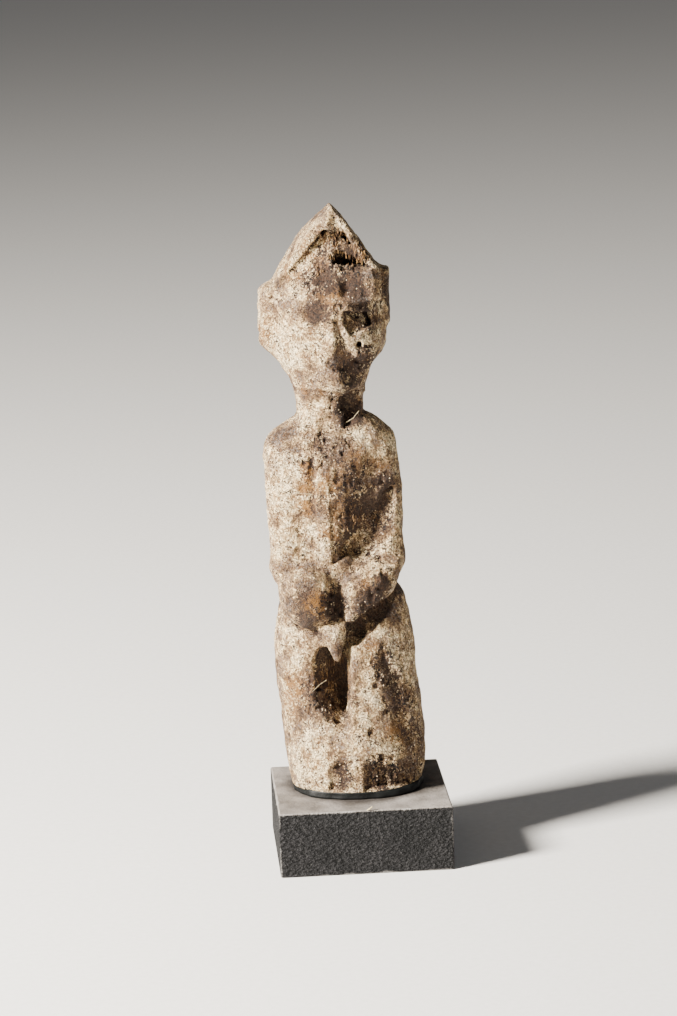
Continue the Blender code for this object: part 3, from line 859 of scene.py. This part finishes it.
# %% Crust and stains
CRUST_TONES = [(0.12, "#3f2c1d"), (0.28, "#6f5539"), (0.42, "#a38560"), (0.53, "#dcb985"), (0.68, "#ffe6b6")]
CRUST_ROWS = [
    ("tone_1", MATH, {0: "cloud", 1: 1.0, 2: -1.45}, TIMES_PLUS),
    ("tone_2", MATH, {0: "tone", 1: 1.5, 2: "tone_1"}, TIMES_PLUS),
    ("tone_3", MATH, {0: "mottle", 1: 1.4, 2: "tone_2"}, TIMES_PLUS),
    ("tone_4", MATH, {0: "scar", 1: -0.34, 2: "tone_3"}, TIMES_PLUS),
    # The pale places lift the tone: whole crust, and painted light on the side that faces the key light.
    ("tone_5", MATH, {0: "pale", 1: 0.14, 2: "tone_4"}, TIMES_PLUS),
    ("crust", RAMP, {"Fac": "tone_5"}, {"ramp": CRUST_TONES}),
    ("cool_1", MATH, {0: "pale", 1: -0.1, 2: "patch"}, TIMES_PLUS),
    ("cool", RANGE, {"Value": "cool_1", "From Min": 0.48, "From Max": 0.6, "To Max": 0.6}, {}),
    ("cooled", MIX, {0: "cool", 6: "crust", 7: "#8d8883"}, COLOURS),
    (
        "speck",
        RANGE,
        {"Value": "grain_grey", "From Min": 0.2, "From Max": 0.8, "To Min": 0.45, "To Max": 1.35},
        {},
    ),
    ("specked", "ShaderNodeVectorMath", {0: "cooled", "Scale": "speck"}, {"operation": "SCALE"}),
    # ochre stains
    ("stain_0", MATH, {0: "grit", 1: 2.2, 2: -2.55}, TIMES_PLUS),
    ("stain_1", MATH, {0: "patch", 1: 3.2, 2: "stain_0"}, TIMES_PLUS),
    ("stain_2", MATH, {0: "stain_1", 1: "stain"}, {"operation": "ADD"}),
    ("stain_at", RANGE, {"Value": "stain_2", "From Min": 0.2, "From Max": 0.8, "To Max": 0.9}, {}),
    ("stained", MIX, {0: "stain_at", 6: "specked", 7: "#80551a"}, COLOURS),
]
print("crust", len(CRUST_ROWS), "nodes")

# %% [markdown]
# ### Bare wood
# The crust breaks off in flakes, more of them in rotten places and on the lips of hollows. A brown fringe
# runs along the broken edge, and the wood inside it is dark, with its grain upright.

# %% Bare wood
GRAIN_TONES = [(0.32, "#140b06"), (0.46, "#34221a"), (0.57, "#5f452f"), (0.72, "#9c7a50")]
BARE_ROWS = [
    ("bare_1", MATH, {0: "rotten", 1: 0.46, 2: -2.1}, TIMES_PLUS),
    ("bare_2", MATH, {0: "mottle", 1: 2.0, 2: "bare_1"}, TIMES_PLUS),
    ("bare_3", MATH, {0: "grit", 1: 2.2, 2: "bare_2"}, TIMES_PLUS),
    ("bare_4", MATH, {0: "near_hollow", 1: 0.7, 2: "bare_3"}, TIMES_PLUS),
    ("fringe", RANGE, {"Value": "bare_4", "From Min": 0.05, "From Max": 0.3, "To Max": 0.75}, {}),
    ("fringed", MIX, {0: "fringe", 6: "stained", 7: "#6e4826"}, COLOURS),
    ("bare", RANGE, {"Value": "bare_4", "From Min": 0.26, "From Max": 0.38}, {}),
    ("wood", RAMP, {"Fac": "grain"}, {"ramp": GRAIN_TONES}),
    ("coat", MIX, {0: "bare", 6: "fringed", 7: "wood"}, COLOURS),
]
print("bare wood", len(BARE_ROWS), "nodes")

# %% [markdown]
# ### Pits, dirt and painted shade
# Pits are the middles of small cells, and grow where the skin is dark or rotten. Dirt and painted shade
# darken the hollows and the dark places, with a ragged edge, and are flecked like grains of earth.

# %% Pits, dirt and painted shade
PIT_DIRT_AND_SHADE_ROWS = [
    ("pit_0", MATH, {0: "dark", 1: 0.32, 2: -0.66}, TIMES_PLUS),
    ("pit_1", MATH, {0: "rotten", 1: 0.22, 2: "pit_0"}, TIMES_PLUS),
    ("pit_2", MATH, {0: "mottle", 1: 1.5, 2: "pit_1"}, TIMES_PLUS),
    ("pit_3", MATH, {0: "pit_2", 1: "cell"}, {"operation": "SUBTRACT"}),
    ("pit", RANGE, {"Value": "pit_3", "From Min": 0.0, "From Max": 0.06}, {}),
    ("pitted", MIX, {0: "pit", 6: "coat", 7: "#120a05"}, COLOURS),
    # dirt, and painted shade in hollows and dark places
    ("dirt_1", MATH, {0: "wide_hollow", 1: 0.8, 2: -2.62}, TIMES_PLUS),
    ("dirt_2", MATH, {0: "dark", 1: 0.95, 2: "dirt_1"}, TIMES_PLUS),
    ("dirt_3", MATH, {0: "patch", 1: 2.6, 2: "dirt_2"}, TIMES_PLUS),
    ("dirt_4", MATH, {0: "mottle", 1: 1.5, 2: "dirt_3"}, TIMES_PLUS),
    ("dirt_5", MATH, {0: "grit", 1: 1.2, 2: "dirt_4"}, TIMES_PLUS),
    ("dirt", RANGE, {"Value": "dirt_5", "From Min": 0.42, "From Max": 0.68, "To Max": 0.9}, {}),
    ("earth", MIX, {0: "grain_grey", 6: "#120904", 7: "#513520"}, COLOURS),
    ("dirt_and_shade_coat", MIX, {0: "dirt", 6: "pitted", 7: "earth"}, COLOURS),
]
print("pits and dirt", len(PIT_DIRT_AND_SHADE_ROWS), "nodes")

# %% [markdown]
# ### Fine relief
# The mesh carries everything down to half a millimetre. Only the finest grain, the edge of a flake and
# the floor of a pit are a bump. Old dry wood has no gloss, so its roughness is high all over.

# %% Weathered wood
RELIEF_ROWS = [
    ("relief_0", MATH, {0: "mottle", 1: 1.6, 2: "grit"}, TIMES_PLUS),
    ("relief_1", MATH, {0: "pit", 1: -1.0, 2: "relief_0"}, TIMES_PLUS),
    ("relief_2", MATH, {0: "bare", 1: -0.5, 2: "relief_1"}, TIMES_PLUS),
    ("relief_3", MATH, {0: "grain_grey", 1: 0.35, 2: "relief_2"}, TIMES_PLUS),
    ("relief_4", MATH, {0: "grain", 1: 0.5, 2: "relief_3"}, TIMES_PLUS),
    ("relief", "ShaderNodeBump", {"Strength": 1.0, "Distance": 1.1 * MM, "Height": "relief_4"}, {}),
]
WOOD_ROWS = PATTERN_ROWS + CRUST_ROWS + BARE_ROWS + PIT_DIRT_AND_SHADE_ROWS + RELIEF_ROWS
wood_skin = finish_of(
    "weathered_crusted_hardwood", {"Roughness": 0.92, "IOR": 1.5}, WOOD_ROWS, colour="dirt_and_shade_coat", normal="relief"
)

# %% [markdown]
# ## The doll's skin
# The net becomes a piece with its finish. A Decimate thins the calm places first, because the numbers are
# kept on the points that are left. Then the piece takes the place of the plain CAD doll.

# %% The doll
doll = to_piece("carved_doll_skin", places.tolist(), quads.tolist(), wood_skin)
DOLL_TRIANGLES = 190000
thin = doll.modifiers.new("Thin", "DECIMATE")
thin.ratio = min(1, DOLL_TRIANGLES / (2 * len(quads)))
settle(doll)
spots = np.empty(len(doll.data.vertices) * 3, np.float32)
doll.data.vertices.foreach_get("co", spots)
spots = spots.reshape(-1, 3) / MM - (0, 0, BLOCK_TOP)
wood_share = (field < 0).astype(np.float32)
for name, reach, gain in (("near_hollow", 0.8, 3.0), ("wide_hollow", 3.6, 2.6)):
    number_the_skin(doll, name, (read_grid(blurred(wood_share, reach), spots) - 0.5) * gain)
PLACES = {"stain": OCHRE, "scar": SCARRED, "dark": DIRT_PITS_AND_SHADE, "fibrous": FIBROUS, "pale": PALE_AND_LIT}
for name, places_of in PLACES.items():
    number_the_skin(doll, name, read_grid(patches(places_of), spots))
# The pale places, whole crust and painted light alike, also hold back the rot.
whole_crust_and_lit_side = np.clip(read_grid(patches(PALE_AND_LIT), spots), 0, 1)
number_the_skin(doll, "rotten", read_grid(rot, spots) - 0.4 * whole_crust_and_lit_side)
print("doll", len(doll.data.vertices), "points", len(doll.data.polygons), "faces")
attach(doll, "root")
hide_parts("carved_doll")

# %% [markdown]
# ## Loose crumbs and torn fibres
# Where the wood has rotted, grains of crust still cling to it and torn fibres hang down. There are
# thousands, so they are scattered by Geometry Nodes: points on the skin, more of them where it is rotten,
# and a small shape on each with a random turn and size. The seeds are fixed, so they fall the same way
# every time.

# %% Scatter
def scatter(name, skin, sizes, rows):
    """A plain mesh of what rows of nodes grow on the skin. sizes are the tree's named inputs."""
    tree = bpy.data.node_groups.new(name, "GeometryNodeTree")
    tree.interface.new_socket("Skin", in_out="INPUT", socket_type="NodeSocketGeometry")
    keys = {}
    for label in sizes:
        keys[label] = tree.interface.new_socket(label, in_out="INPUT", socket_type="NodeSocketFloat")
    tree.interface.new_socket("Grown", in_out="OUTPUT", socket_type="NodeSocketGeometry")
    wire(tree, rows)
    piece = put(name, skin.data.copy())
    grow = piece.modifiers.new(name, "NODES")
    grow.node_group = tree
    for label, value in sizes.items():
        grow[keys[label].identifier] = value
    settle(piece)
    print(name, len(piece.data.polygons), "faces")
    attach(piece, "root")
    return piece


def strewn(where, low, high):
    """Rows that put random points on the skin where a number on it is between low and high."""
    return [
        ("in", "NodeGroupInput", {}, {}),
        ("place_of", "GeometryNodeInputNamedAttribute", {"Name": where}, {"data_type": "FLOAT"}),
        ("share", RANGE, {"Value": "place_of", "From Min": low, "From Max": high}, {}),
        ("many", MATH, {0: "share", 1: "in.Number per square metre"}, {"operation": "MULTIPLY"}),
        (
            "spots",
            "GeometryNodeDistributePointsOnFaces",
            {"Mesh": "in.Skin", "Density": "many", "Seed": 5},
            {},
        ),
    ]


def planted(shape, small, large, least, most, finish):
    """Rows that put a shape on the points, sized between two vectors and turned between two vectors."""
    return [
        ("sizes", "FunctionNodeRandomValue", {0: small, 1: large, "Seed": 3}, {"data_type": "FLOAT_VECTOR"}),
        ("turns", "FunctionNodeRandomValue", {0: least, 1: most, "Seed": 4}, {"data_type": "FLOAT_VECTOR"}),
        (
            "set_down",
            "GeometryNodeInstanceOnPoints",
            {"Points": "spots", "Instance": shape, "Rotation": "turns", "Scale": "sizes"},
            {},
        ),
        ("whole", "GeometryNodeRealizeInstances", {"Geometry": "set_down"}, {}),
        ("coated", "GeometryNodeSetMaterial", {"Geometry": "whole", "Material": finish}, {}),
        ("out", "NodeGroupOutput", {"Grown": "coated"}, {}),
    ]


# %% [markdown]
# ### Crumbs
# A crumb is the smallest round shape there is, a ball of 20 faces, pressed flatter by the random sizes.

# %% Crumbs
PLACE = ("place", "ShaderNodeTexCoord", {}, {"out": "Object"})
CRUMB_COLOUR = [
    PLACE,
    ("each", NOISE, {"Vector": "place", "Scale": per_mm(1.4), "Detail": 3.0}, {}),
    ("colour", RAMP, {"Fac": "each"}, {"ramp": [(0.38, "#4c3a2a"), (0.50, "#8f7a64"), (0.62, "#dcc6a2")]}),
]
crumb_finish = finish_of("dry_crust_grains", {"Roughness": 0.95, "IOR": 1.5}, CRUMB_COLOUR, colour="colour")
FULL_TURN = (6.28, 6.28, 6.28)
CRUMB_ROWS = [
    *strewn("rotten", 0.1, 0.8),
    ("grain", "GeometryNodeMeshIcoSphere", {"Radius": "in.Grain radius", "Subdivisions": 1}, {}),
    *planted("grain", (0.5, 0.4, 0.3), (1.4, 1.1, 0.9), (0.0, 0.0, 0.0), FULL_TURN, crumb_finish),
]
scatter("crust_grains", doll, {"Number per square metre": 340000.0, "Grain radius": 0.26 * MM}, CRUMB_ROWS)

# %% [markdown]
# ### Fibres
# A torn fibre is a short bent curve with a square section. All hang down, because rain combed them.

# %% Fibres
FIBRE_COLOUR = [
    PLACE,
    ("each", NOISE, {"Vector": "place", "Scale": per_mm(1.0), "Detail": 2.0}, {}),
    ("colour", RAMP, {"Fac": "each"}, {"ramp": [(0.38, "#35220f"), (0.5, "#6b4a2a"), (0.64, "#a98554")]}),
]
fibre_finish = finish_of("torn_wood_fibre", {"Roughness": 0.8, "IOR": 1.5}, FIBRE_COLOUR, colour="colour")
FIBRE_ROWS = [
    *strewn("fibrous", 0.1, 0.7),
    (
        "strand",
        "GeometryNodeCurvePrimitiveBezierSegment",
        {
            "Resolution": 4,
            "Start": (0.0, 0.2 * MM, 0.5 * MM),
            "Start Handle": (0.0, -0.3 * MM, 0.2 * MM),
            "End Handle": (0.1 * MM, -0.4 * MM, -0.7 * MM),
            "End": (0.0, -0.1 * MM, -1.4 * MM),
        },
        {},
    ),
    ("round", "GeometryNodeCurvePrimitiveCircle", {"Resolution": 4, "Radius": "in.Strand radius"}, {}),
    ("rod", "GeometryNodeCurveToMesh", {"Curve": "strand", "Profile Curve": "round", "Fill Caps": True}, {}),
    *planted("rod", (0.7, 0.7, 0.6), (1.2, 1.2, 1.3), (-0.3, -0.35, -0.8), (0.3, 0.35, 0.8), fibre_finish),
]
scatter("torn_fibres", doll, {"Number per square metre": 900000.0, "Strand radius": 0.09 * MM}, FIBRE_ROWS)

# %% [markdown]
# ## Straws and a splinter
# Two dry straws lie across the hollows, one at the neck and one in the slot between the legs, and a
# splinter sits on the front edge of the block. Each is a thin bevelled curve, made a mesh.

# %% Straws
STRAWS = [
    ([(-0.9, -7.6, 109.8), (1.0, -9.0, 111.2), (2.8, -8.4, 113.2)], 0.06),
    ([(-13.4, -10.6, 32.0), (-11.4, -11.6, 34.2), (-9.2, -11.0, 35.4)], 0.06),
    ([(0.4, -24.7, 0.0), (1.1, -25.1, 0.5), (1.9, -25.2, 1.1)], 0.22),
]
STRAW_COLOUR = [
    PLACE,
    ("each", NOISE, {"Vector": "place", "Scale": per_mm(1.0)}, {}),
    ("colour", RAMP, {"Fac": "each"}, {"ramp": [(0.4, "#857657"), (0.6, "#c4b58e")]}),
]
straw_finish = finish_of("dry_straw", {"Roughness": 0.7, "IOR": 1.5}, STRAW_COLOUR, colour="colour")
straw_line = bpy.data.curves.new("straws", "CURVE")
straw_line.dimensions = "3D"
straw_line.bevel_depth = MM
straw_line.bevel_resolution = 1
straw_line.use_fill_caps = True
for bends, thickness in STRAWS:
    spline = straw_line.splines.new("POLY")
    spline.points.add(len(bends) - 1)
    for point, (x, y, up) in zip(spline.points, bends):
        point.co = (x * MM, y * MM, (BLOCK_TOP + up) * MM, 1)
        point.radius = thickness
straw_line.materials.append(straw_finish)
straw_maker = put("straw_maker", straw_line)
bpy.context.view_layer.update()
straws = put("straws_and_splinter", bpy.data.meshes.new_from_object(straw_maker))
bpy.data.objects.remove(straw_maker)
print("straws", len(straws.data.polygons), "faces")
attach(straws, "root")

# %% [markdown]
# ## Brushed paint on the block
# The block is softwood under two coats of slate-grey emulsion put on with a coarse brush, so it dries in
# fine pebbles that lean one way, painted darker in their hollows and paler on their crowns as painted shade
# and highlight. The arrises are rubbed pale, the top is painted much paler than the sides, as dust and as
# painted light from above, and the wax has bled a dark greasy ring. Plain arithmetic on the coordinates
# finds the arrises: on a face one of the three distances to the sides is nought, and the second smallest is
# the distance to the nearest arris.

# %% Slate paint
HALF_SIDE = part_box("display_block")[1].x
BRUSH_LEAN = (0.5, 0.55, 0.4)
PAINT_ROWS = [
    ("place", "ShaderNodeTexCoord", {}, {"out": "Object"}),
    ("brush", "ShaderNodeMapping", {"Vector": "place", "Rotation": BRUSH_LEAN, "Scale": (1.0, 1.0, 1.9)}, {}),
    ("pebble", NOISE, {"Vector": "brush", "Scale": per_mm(1.1), "Detail": 2.0, "Roughness": 0.5}, {}),
    ("cloud", NOISE, {"Vector": "place", "Scale": per_mm(8.0), "Detail": 5.0}, {}),
    ("speck", NOISE, {"Vector": "place", "Scale": per_mm(0.5), "Detail": 1.0}, {}),
    ("axes", "ShaderNodeSeparateXYZ", {"Vector": "place"}, {}),
    ("x_size", MATH, {0: "axes.X"}, {"operation": "ABSOLUTE"}),
    ("y_size", MATH, {0: "axes.Y"}, {"operation": "ABSOLUTE"}),
    ("x_in", MATH, {0: HALF_SIDE, 1: "x_size"}, {"operation": "SUBTRACT"}),
    ("y_in", MATH, {0: HALF_SIDE, 1: "y_size"}, {"operation": "SUBTRACT"}),
    ("z_down", MATH, {0: BLOCK_TOP * MM, 1: "axes.Z"}, {"operation": "SUBTRACT"}),
    ("z_in", MATH, {0: "z_down", 1: "axes.Z"}, {"operation": "MINIMUM"}),
    ("low_xy", MATH, {0: "x_in", 1: "y_in"}, {"operation": "MINIMUM"}),
    ("high_xy", MATH, {0: "x_in", 1: "y_in"}, {"operation": "MAXIMUM"}),
    ("low_two", MATH, {0: "high_xy", 1: "z_in"}, {"operation": "MINIMUM"}),
    ("arris", MATH, {0: "low_xy", 1: "low_two"}, {"operation": "MAXIMUM"}),
    ("arris_rough", MATH, {0: "cloud", 1: 3.0 * MM, 2: "arris"}, TIMES_PLUS),
    ("worn", RANGE, {"Value": "arris_rough", "From Min": 1.95 * MM, "From Max": 1.5 * MM, "To Max": 0.7}, {}),
    ("tone", RANGE, {"Value": "cloud", "From Min": 0.3, "From Max": 0.7}, {}),
    ("paint", MIX, {0: "tone", 6: "#0d0d0e", 7: "#1e1d1e"}, COLOURS),
    # painted shade and highlight: the paint is darker in the pebbles' hollows and paler on their crowns
    (
        "valley",
        RANGE,
        {"Value": "pebble", "From Min": 0.4, "From Max": 0.62, "To Min": 0.1, "To Max": 2.5},
        {},
    ),
    ("pebbled", "ShaderNodeVectorMath", {0: "paint", "Scale": "valley"}, {"operation": "SCALE"}),
    ("on_top", RANGE, {"Value": "z_down", "From Min": 0.5 * MM, "From Max": 0.1 * MM}, {}),
    # painted light as well as dust: the top is painted much paler than the sides
    ("dust", MIX, {0: "tone", 6: "#5d5751", 7: "#8f8882"}, COLOURS),
    ("dusty", MIX, {0: "on_top", 6: "pebbled", 7: "dust"}, COLOURS),
    ("flat", "ShaderNodeVectorMath", {0: "place", 1: (1.0, 1.0, 0.0), 2: (0.0, -4.0 * MM, 0.0)}, TIMES_PLUS),
    ("from_axis", "ShaderNodeVectorMath", {0: "flat"}, {"operation": "LENGTH", "out": "Value"}),
    ("ring_rough", MATH, {0: "cloud", 1: 5.0 * MM, 2: "from_axis"}, TIMES_PLUS),
    (
        "ring",
        RANGE,
        {"Value": "ring_rough", "From Min": 26.0 * MM, "From Max": 22.0 * MM, "To Max": 0.85},
        {},
    ),
    ("ring_on_top", MATH, {0: "ring", 1: "on_top"}, {"operation": "MULTIPLY"}),
    ("greasy", MIX, {0: "ring_on_top", 6: "dusty", 7: "#332e2b"}, COLOURS),
    ("rubbed", MIX, {0: "worn", 6: "greasy", 7: "#a09c98"}, COLOURS),
    ("peak", RANGE, {"Value": "speck", "From Min": 0.66, "From Max": 0.74, "To Max": 0.25}, {}),
    ("specked", MIX, {0: "peak", 6: "rubbed", 7: "#8f8c89"}, COLOURS),
    ("relief_1", MATH, {0: "speck", 1: 0.3, 2: "pebble"}, TIMES_PLUS),
    ("strength", RANGE, {"Value": "on_top", "To Min": 1.0, "To Max": 0.12}, {}),
    ("relief", "ShaderNodeBump", {"Strength": "strength", "Distance": 4.5 * MM, "Height": "relief_1"}, {}),
    ("gloss", RANGE, {"Value": "ring_on_top", "To Min": 0.85, "To Max": 0.55}, {}),
]
slate = finish_of(
    "brushed_slate_emulsion", {"IOR": 1.36}, PAINT_ROWS, colour="specked", normal="relief", roughness="gloss"
)

# %% [markdown]
# ## Steel pins and the CAD nodes' finishes
# The pins are bright drawn rod, with fine turning marks round them. The block and the pins keep their CAD
# shapes, so only their materials are changed.

# %% Steel, and finishes for the CAD nodes
STEEL_ROWS = [
    ("place", "ShaderNodeTexCoord", {}, {"out": "Object"}),
    ("round", "ShaderNodeMapping", {"Vector": "place", "Scale": (0.1, 0.1, 1.0)}, {}),
    ("turning", NOISE, {"Vector": "round", "Scale": per_mm(0.3), "Detail": 2.0}, {}),
    ("colour", RAMP, {"Fac": "turning"}, {"ramp": [(0.3, "#a9a9ab"), (0.7, "#c6c6c8")]}),
    ("gloss", RANGE, {"Value": "turning", "To Min": 0.25, "To Max": 0.42}, {}),
]
steel = finish_of("bright_drawn_steel", {"Metallic": 1.0}, STEEL_ROWS, colour="colour", roughness="gloss")
for name, coat in (("display_block", slate), ("mounting_pin_left", steel), ("mounting_pin_right", steel)):
    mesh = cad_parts[name].data
    mesh.materials.clear()
    mesh.materials.append(coat)

# %% [markdown]
# ## The wax pad
# Black mounting wax is pressed under the foot and squeezes out as a thin uneven lip. It is a ring of
# sections round the foot, pushed in and out by a few waves, and thickest at the right where more was used.

# %% Wax
WAX_STEPS = 220
WAX_LIP = 0.1
around = np.linspace(0, 2 * np.pi, WAX_STEPS, endpoint=False)
foot_middle, foot_half, foot_front, foot_back, roundness = LEGS[0][1:6]
foot_reach = np.where(np.sin(around) < 0, foot_front, foot_back)
foot_x = foot_middle + foot_half * np.sign(np.cos(around)) * np.abs(np.cos(around)) ** (2 / roundness)
foot_y = AXIS_Y + foot_reach * np.sign(np.sin(around)) * np.abs(np.sin(around)) ** (2 / roundness)
lip = WAX_LIP + 0.2 * np.sin(5 * around + 1) + 0.14 * np.sin(11 * around + 2) + 0.1 * np.sin(23 * around)
lip += 0.9 * np.exp(-(((around - 2 * np.pi + 0.75) / 0.4) ** 2))
gap = SOLE - BLOCK_TOP
UNDER_FOOT = -6.0
CLEAR = 0.02
pad_top = gap + 0.1
sections = [
    (UNDER_FOOT, CLEAR),
    (lip + 0.2, CLEAR),
    (lip + 0.3, 0.4 * gap),
    (lip, gap),
    (0.35, gap + 0.45),
    (UNDER_FOOT, pad_top),
]
away = np.stack([np.cos(around), np.sin(around)], 1)
foot_edge = np.column_stack([foot_x, foot_y])
rings = []
for out, up in sections:
    ring = foot_edge + away * np.broadcast_to(out, around.shape)[:, None]
    rings.append(np.column_stack([ring, np.full(WAX_STEPS, BLOCK_TOP + up)]))
middles = [[foot_middle, AXIS_Y, BLOCK_TOP + up] for up in (CLEAR, pad_top)]
wax_points = np.concatenate([*rings, middles]) * MM

# %% [markdown]
# ### Faces of the pad
# Quads join each ring to the next, and two fans of triangles close the pad below and above.

# %% Wax faces
turn = np.arange(WAX_STEPS)
after = (turn + 1) % WAX_STEPS
wax_faces = [
    (level * WAX_STEPS + a, level * WAX_STEPS + b, (level + 1) * WAX_STEPS + b, (level + 1) * WAX_STEPS + a)
    for level in range(len(sections) - 1)
    for a, b in zip(turn.tolist(), after.tolist())
]
last = (len(sections) - 1) * WAX_STEPS
bottom_middle = len(sections) * WAX_STEPS
wax_faces += [(bottom_middle, b, a) for a, b in zip(turn.tolist(), after.tolist())]
wax_faces += [(bottom_middle + 1, last + a, last + b) for a, b in zip(turn.tolist(), after.tolist())]

# %% [markdown]
# ### Wax finish
# Carbon-black wax has a low, greasy sheen and small smears from the tool that pressed it in.

# %% Wax finish
WAX_ROWS = [
    ("place", "ShaderNodeTexCoord", {}, {"out": "Object"}),
    ("smear", NOISE, {"Vector": "place", "Scale": per_mm(1.4), "Detail": 3.0}, {}),
    ("colour", RAMP, {"Fac": "smear"}, {"ramp": [(0.35, "#020303"), (0.62, "#050807"), (0.78, "#121a18")]}),
    ("relief", "ShaderNodeBump", {"Strength": 0.5, "Distance": 0.3 * MM, "Height": "smear"}, {}),
]
wax_coat = finish_of(
    "black_mounting_wax", {"Roughness": 0.6, "IOR": 1.4}, WAX_ROWS, colour="colour", normal="relief"
)
wax = to_piece("wax_pad_squeezed", wax_points.tolist(), wax_faces, wax_coat)
print("wax", len(wax.data.polygons), "faces")
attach(wax, "root")
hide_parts("wax_bed")

# %% [markdown]
# ## Floor and light
# A plain pale sheet, a small softbox at the left that rakes across the pits, and a large weak one at the
# right with a dim room, so the hollows stay dark but not empty.

# %% Stage
floor_mesh = bpy.data.meshes.new("floor")
FAR = 9
floor_mesh.from_pydata([(-FAR, -FAR, 0), (FAR, -FAR, 0), (FAR, FAR, 0), (-FAR, FAR, 0)], [], [(0, 1, 2, 3)])
PAPER_ROWS = [
    ("place", "ShaderNodeTexCoord", {}, {"out": "Object"}),
    ("fibre", NOISE, {"Vector": "place", "Scale": per_mm(2.0), "Detail": 2.0}, {}),
    ("colour", RAMP, {"Fac": "fibre"}, {"ramp": [(0.2, "#e6e4e0"), (0.8, "#efedea")]}),
]
paper = finish_of("matt_background_paper", {"Roughness": 0.95}, PAPER_ROWS, colour="colour")
floor_mesh.materials.append(paper)
floor = put("floor", floor_mesh)


def area_light(name, place, size, power, colour):
    """A square softbox with a side of size metres, aimed at the middle of the doll."""
    lamp = bpy.data.lights.new(name, "AREA")
    lamp.size = size
    lamp.energy = power
    lamp.color = colour
    holder = put(name, lamp)
    holder.location = place
    holder.rotation_mode = "QUATERNION"
    holder.rotation_quaternion = (Vector((0, 0, 0.1)) - Vector(place)).to_track_quat("-Z", "Y")
    print("light", name, power, "W")


area_light("key_softbox", (-0.93, -0.45, 0.64), 0.24, 97, (1.0, 0.95, 0.87))
area_light("fill_softbox", (0.8, -1.0, 0.6), 0.9, 1.3, (1.0, 1.0, 1.0))
world = bpy.data.worlds.new("studio_air")
bpy.context.scene.world = world
world.use_nodes = True
world.node_tree.nodes["Background"].inputs["Color"].default_value = (0.9, 0.9, 0.92, 1)
world.node_tree.nodes["Background"].inputs["Strength"].default_value = 0.12
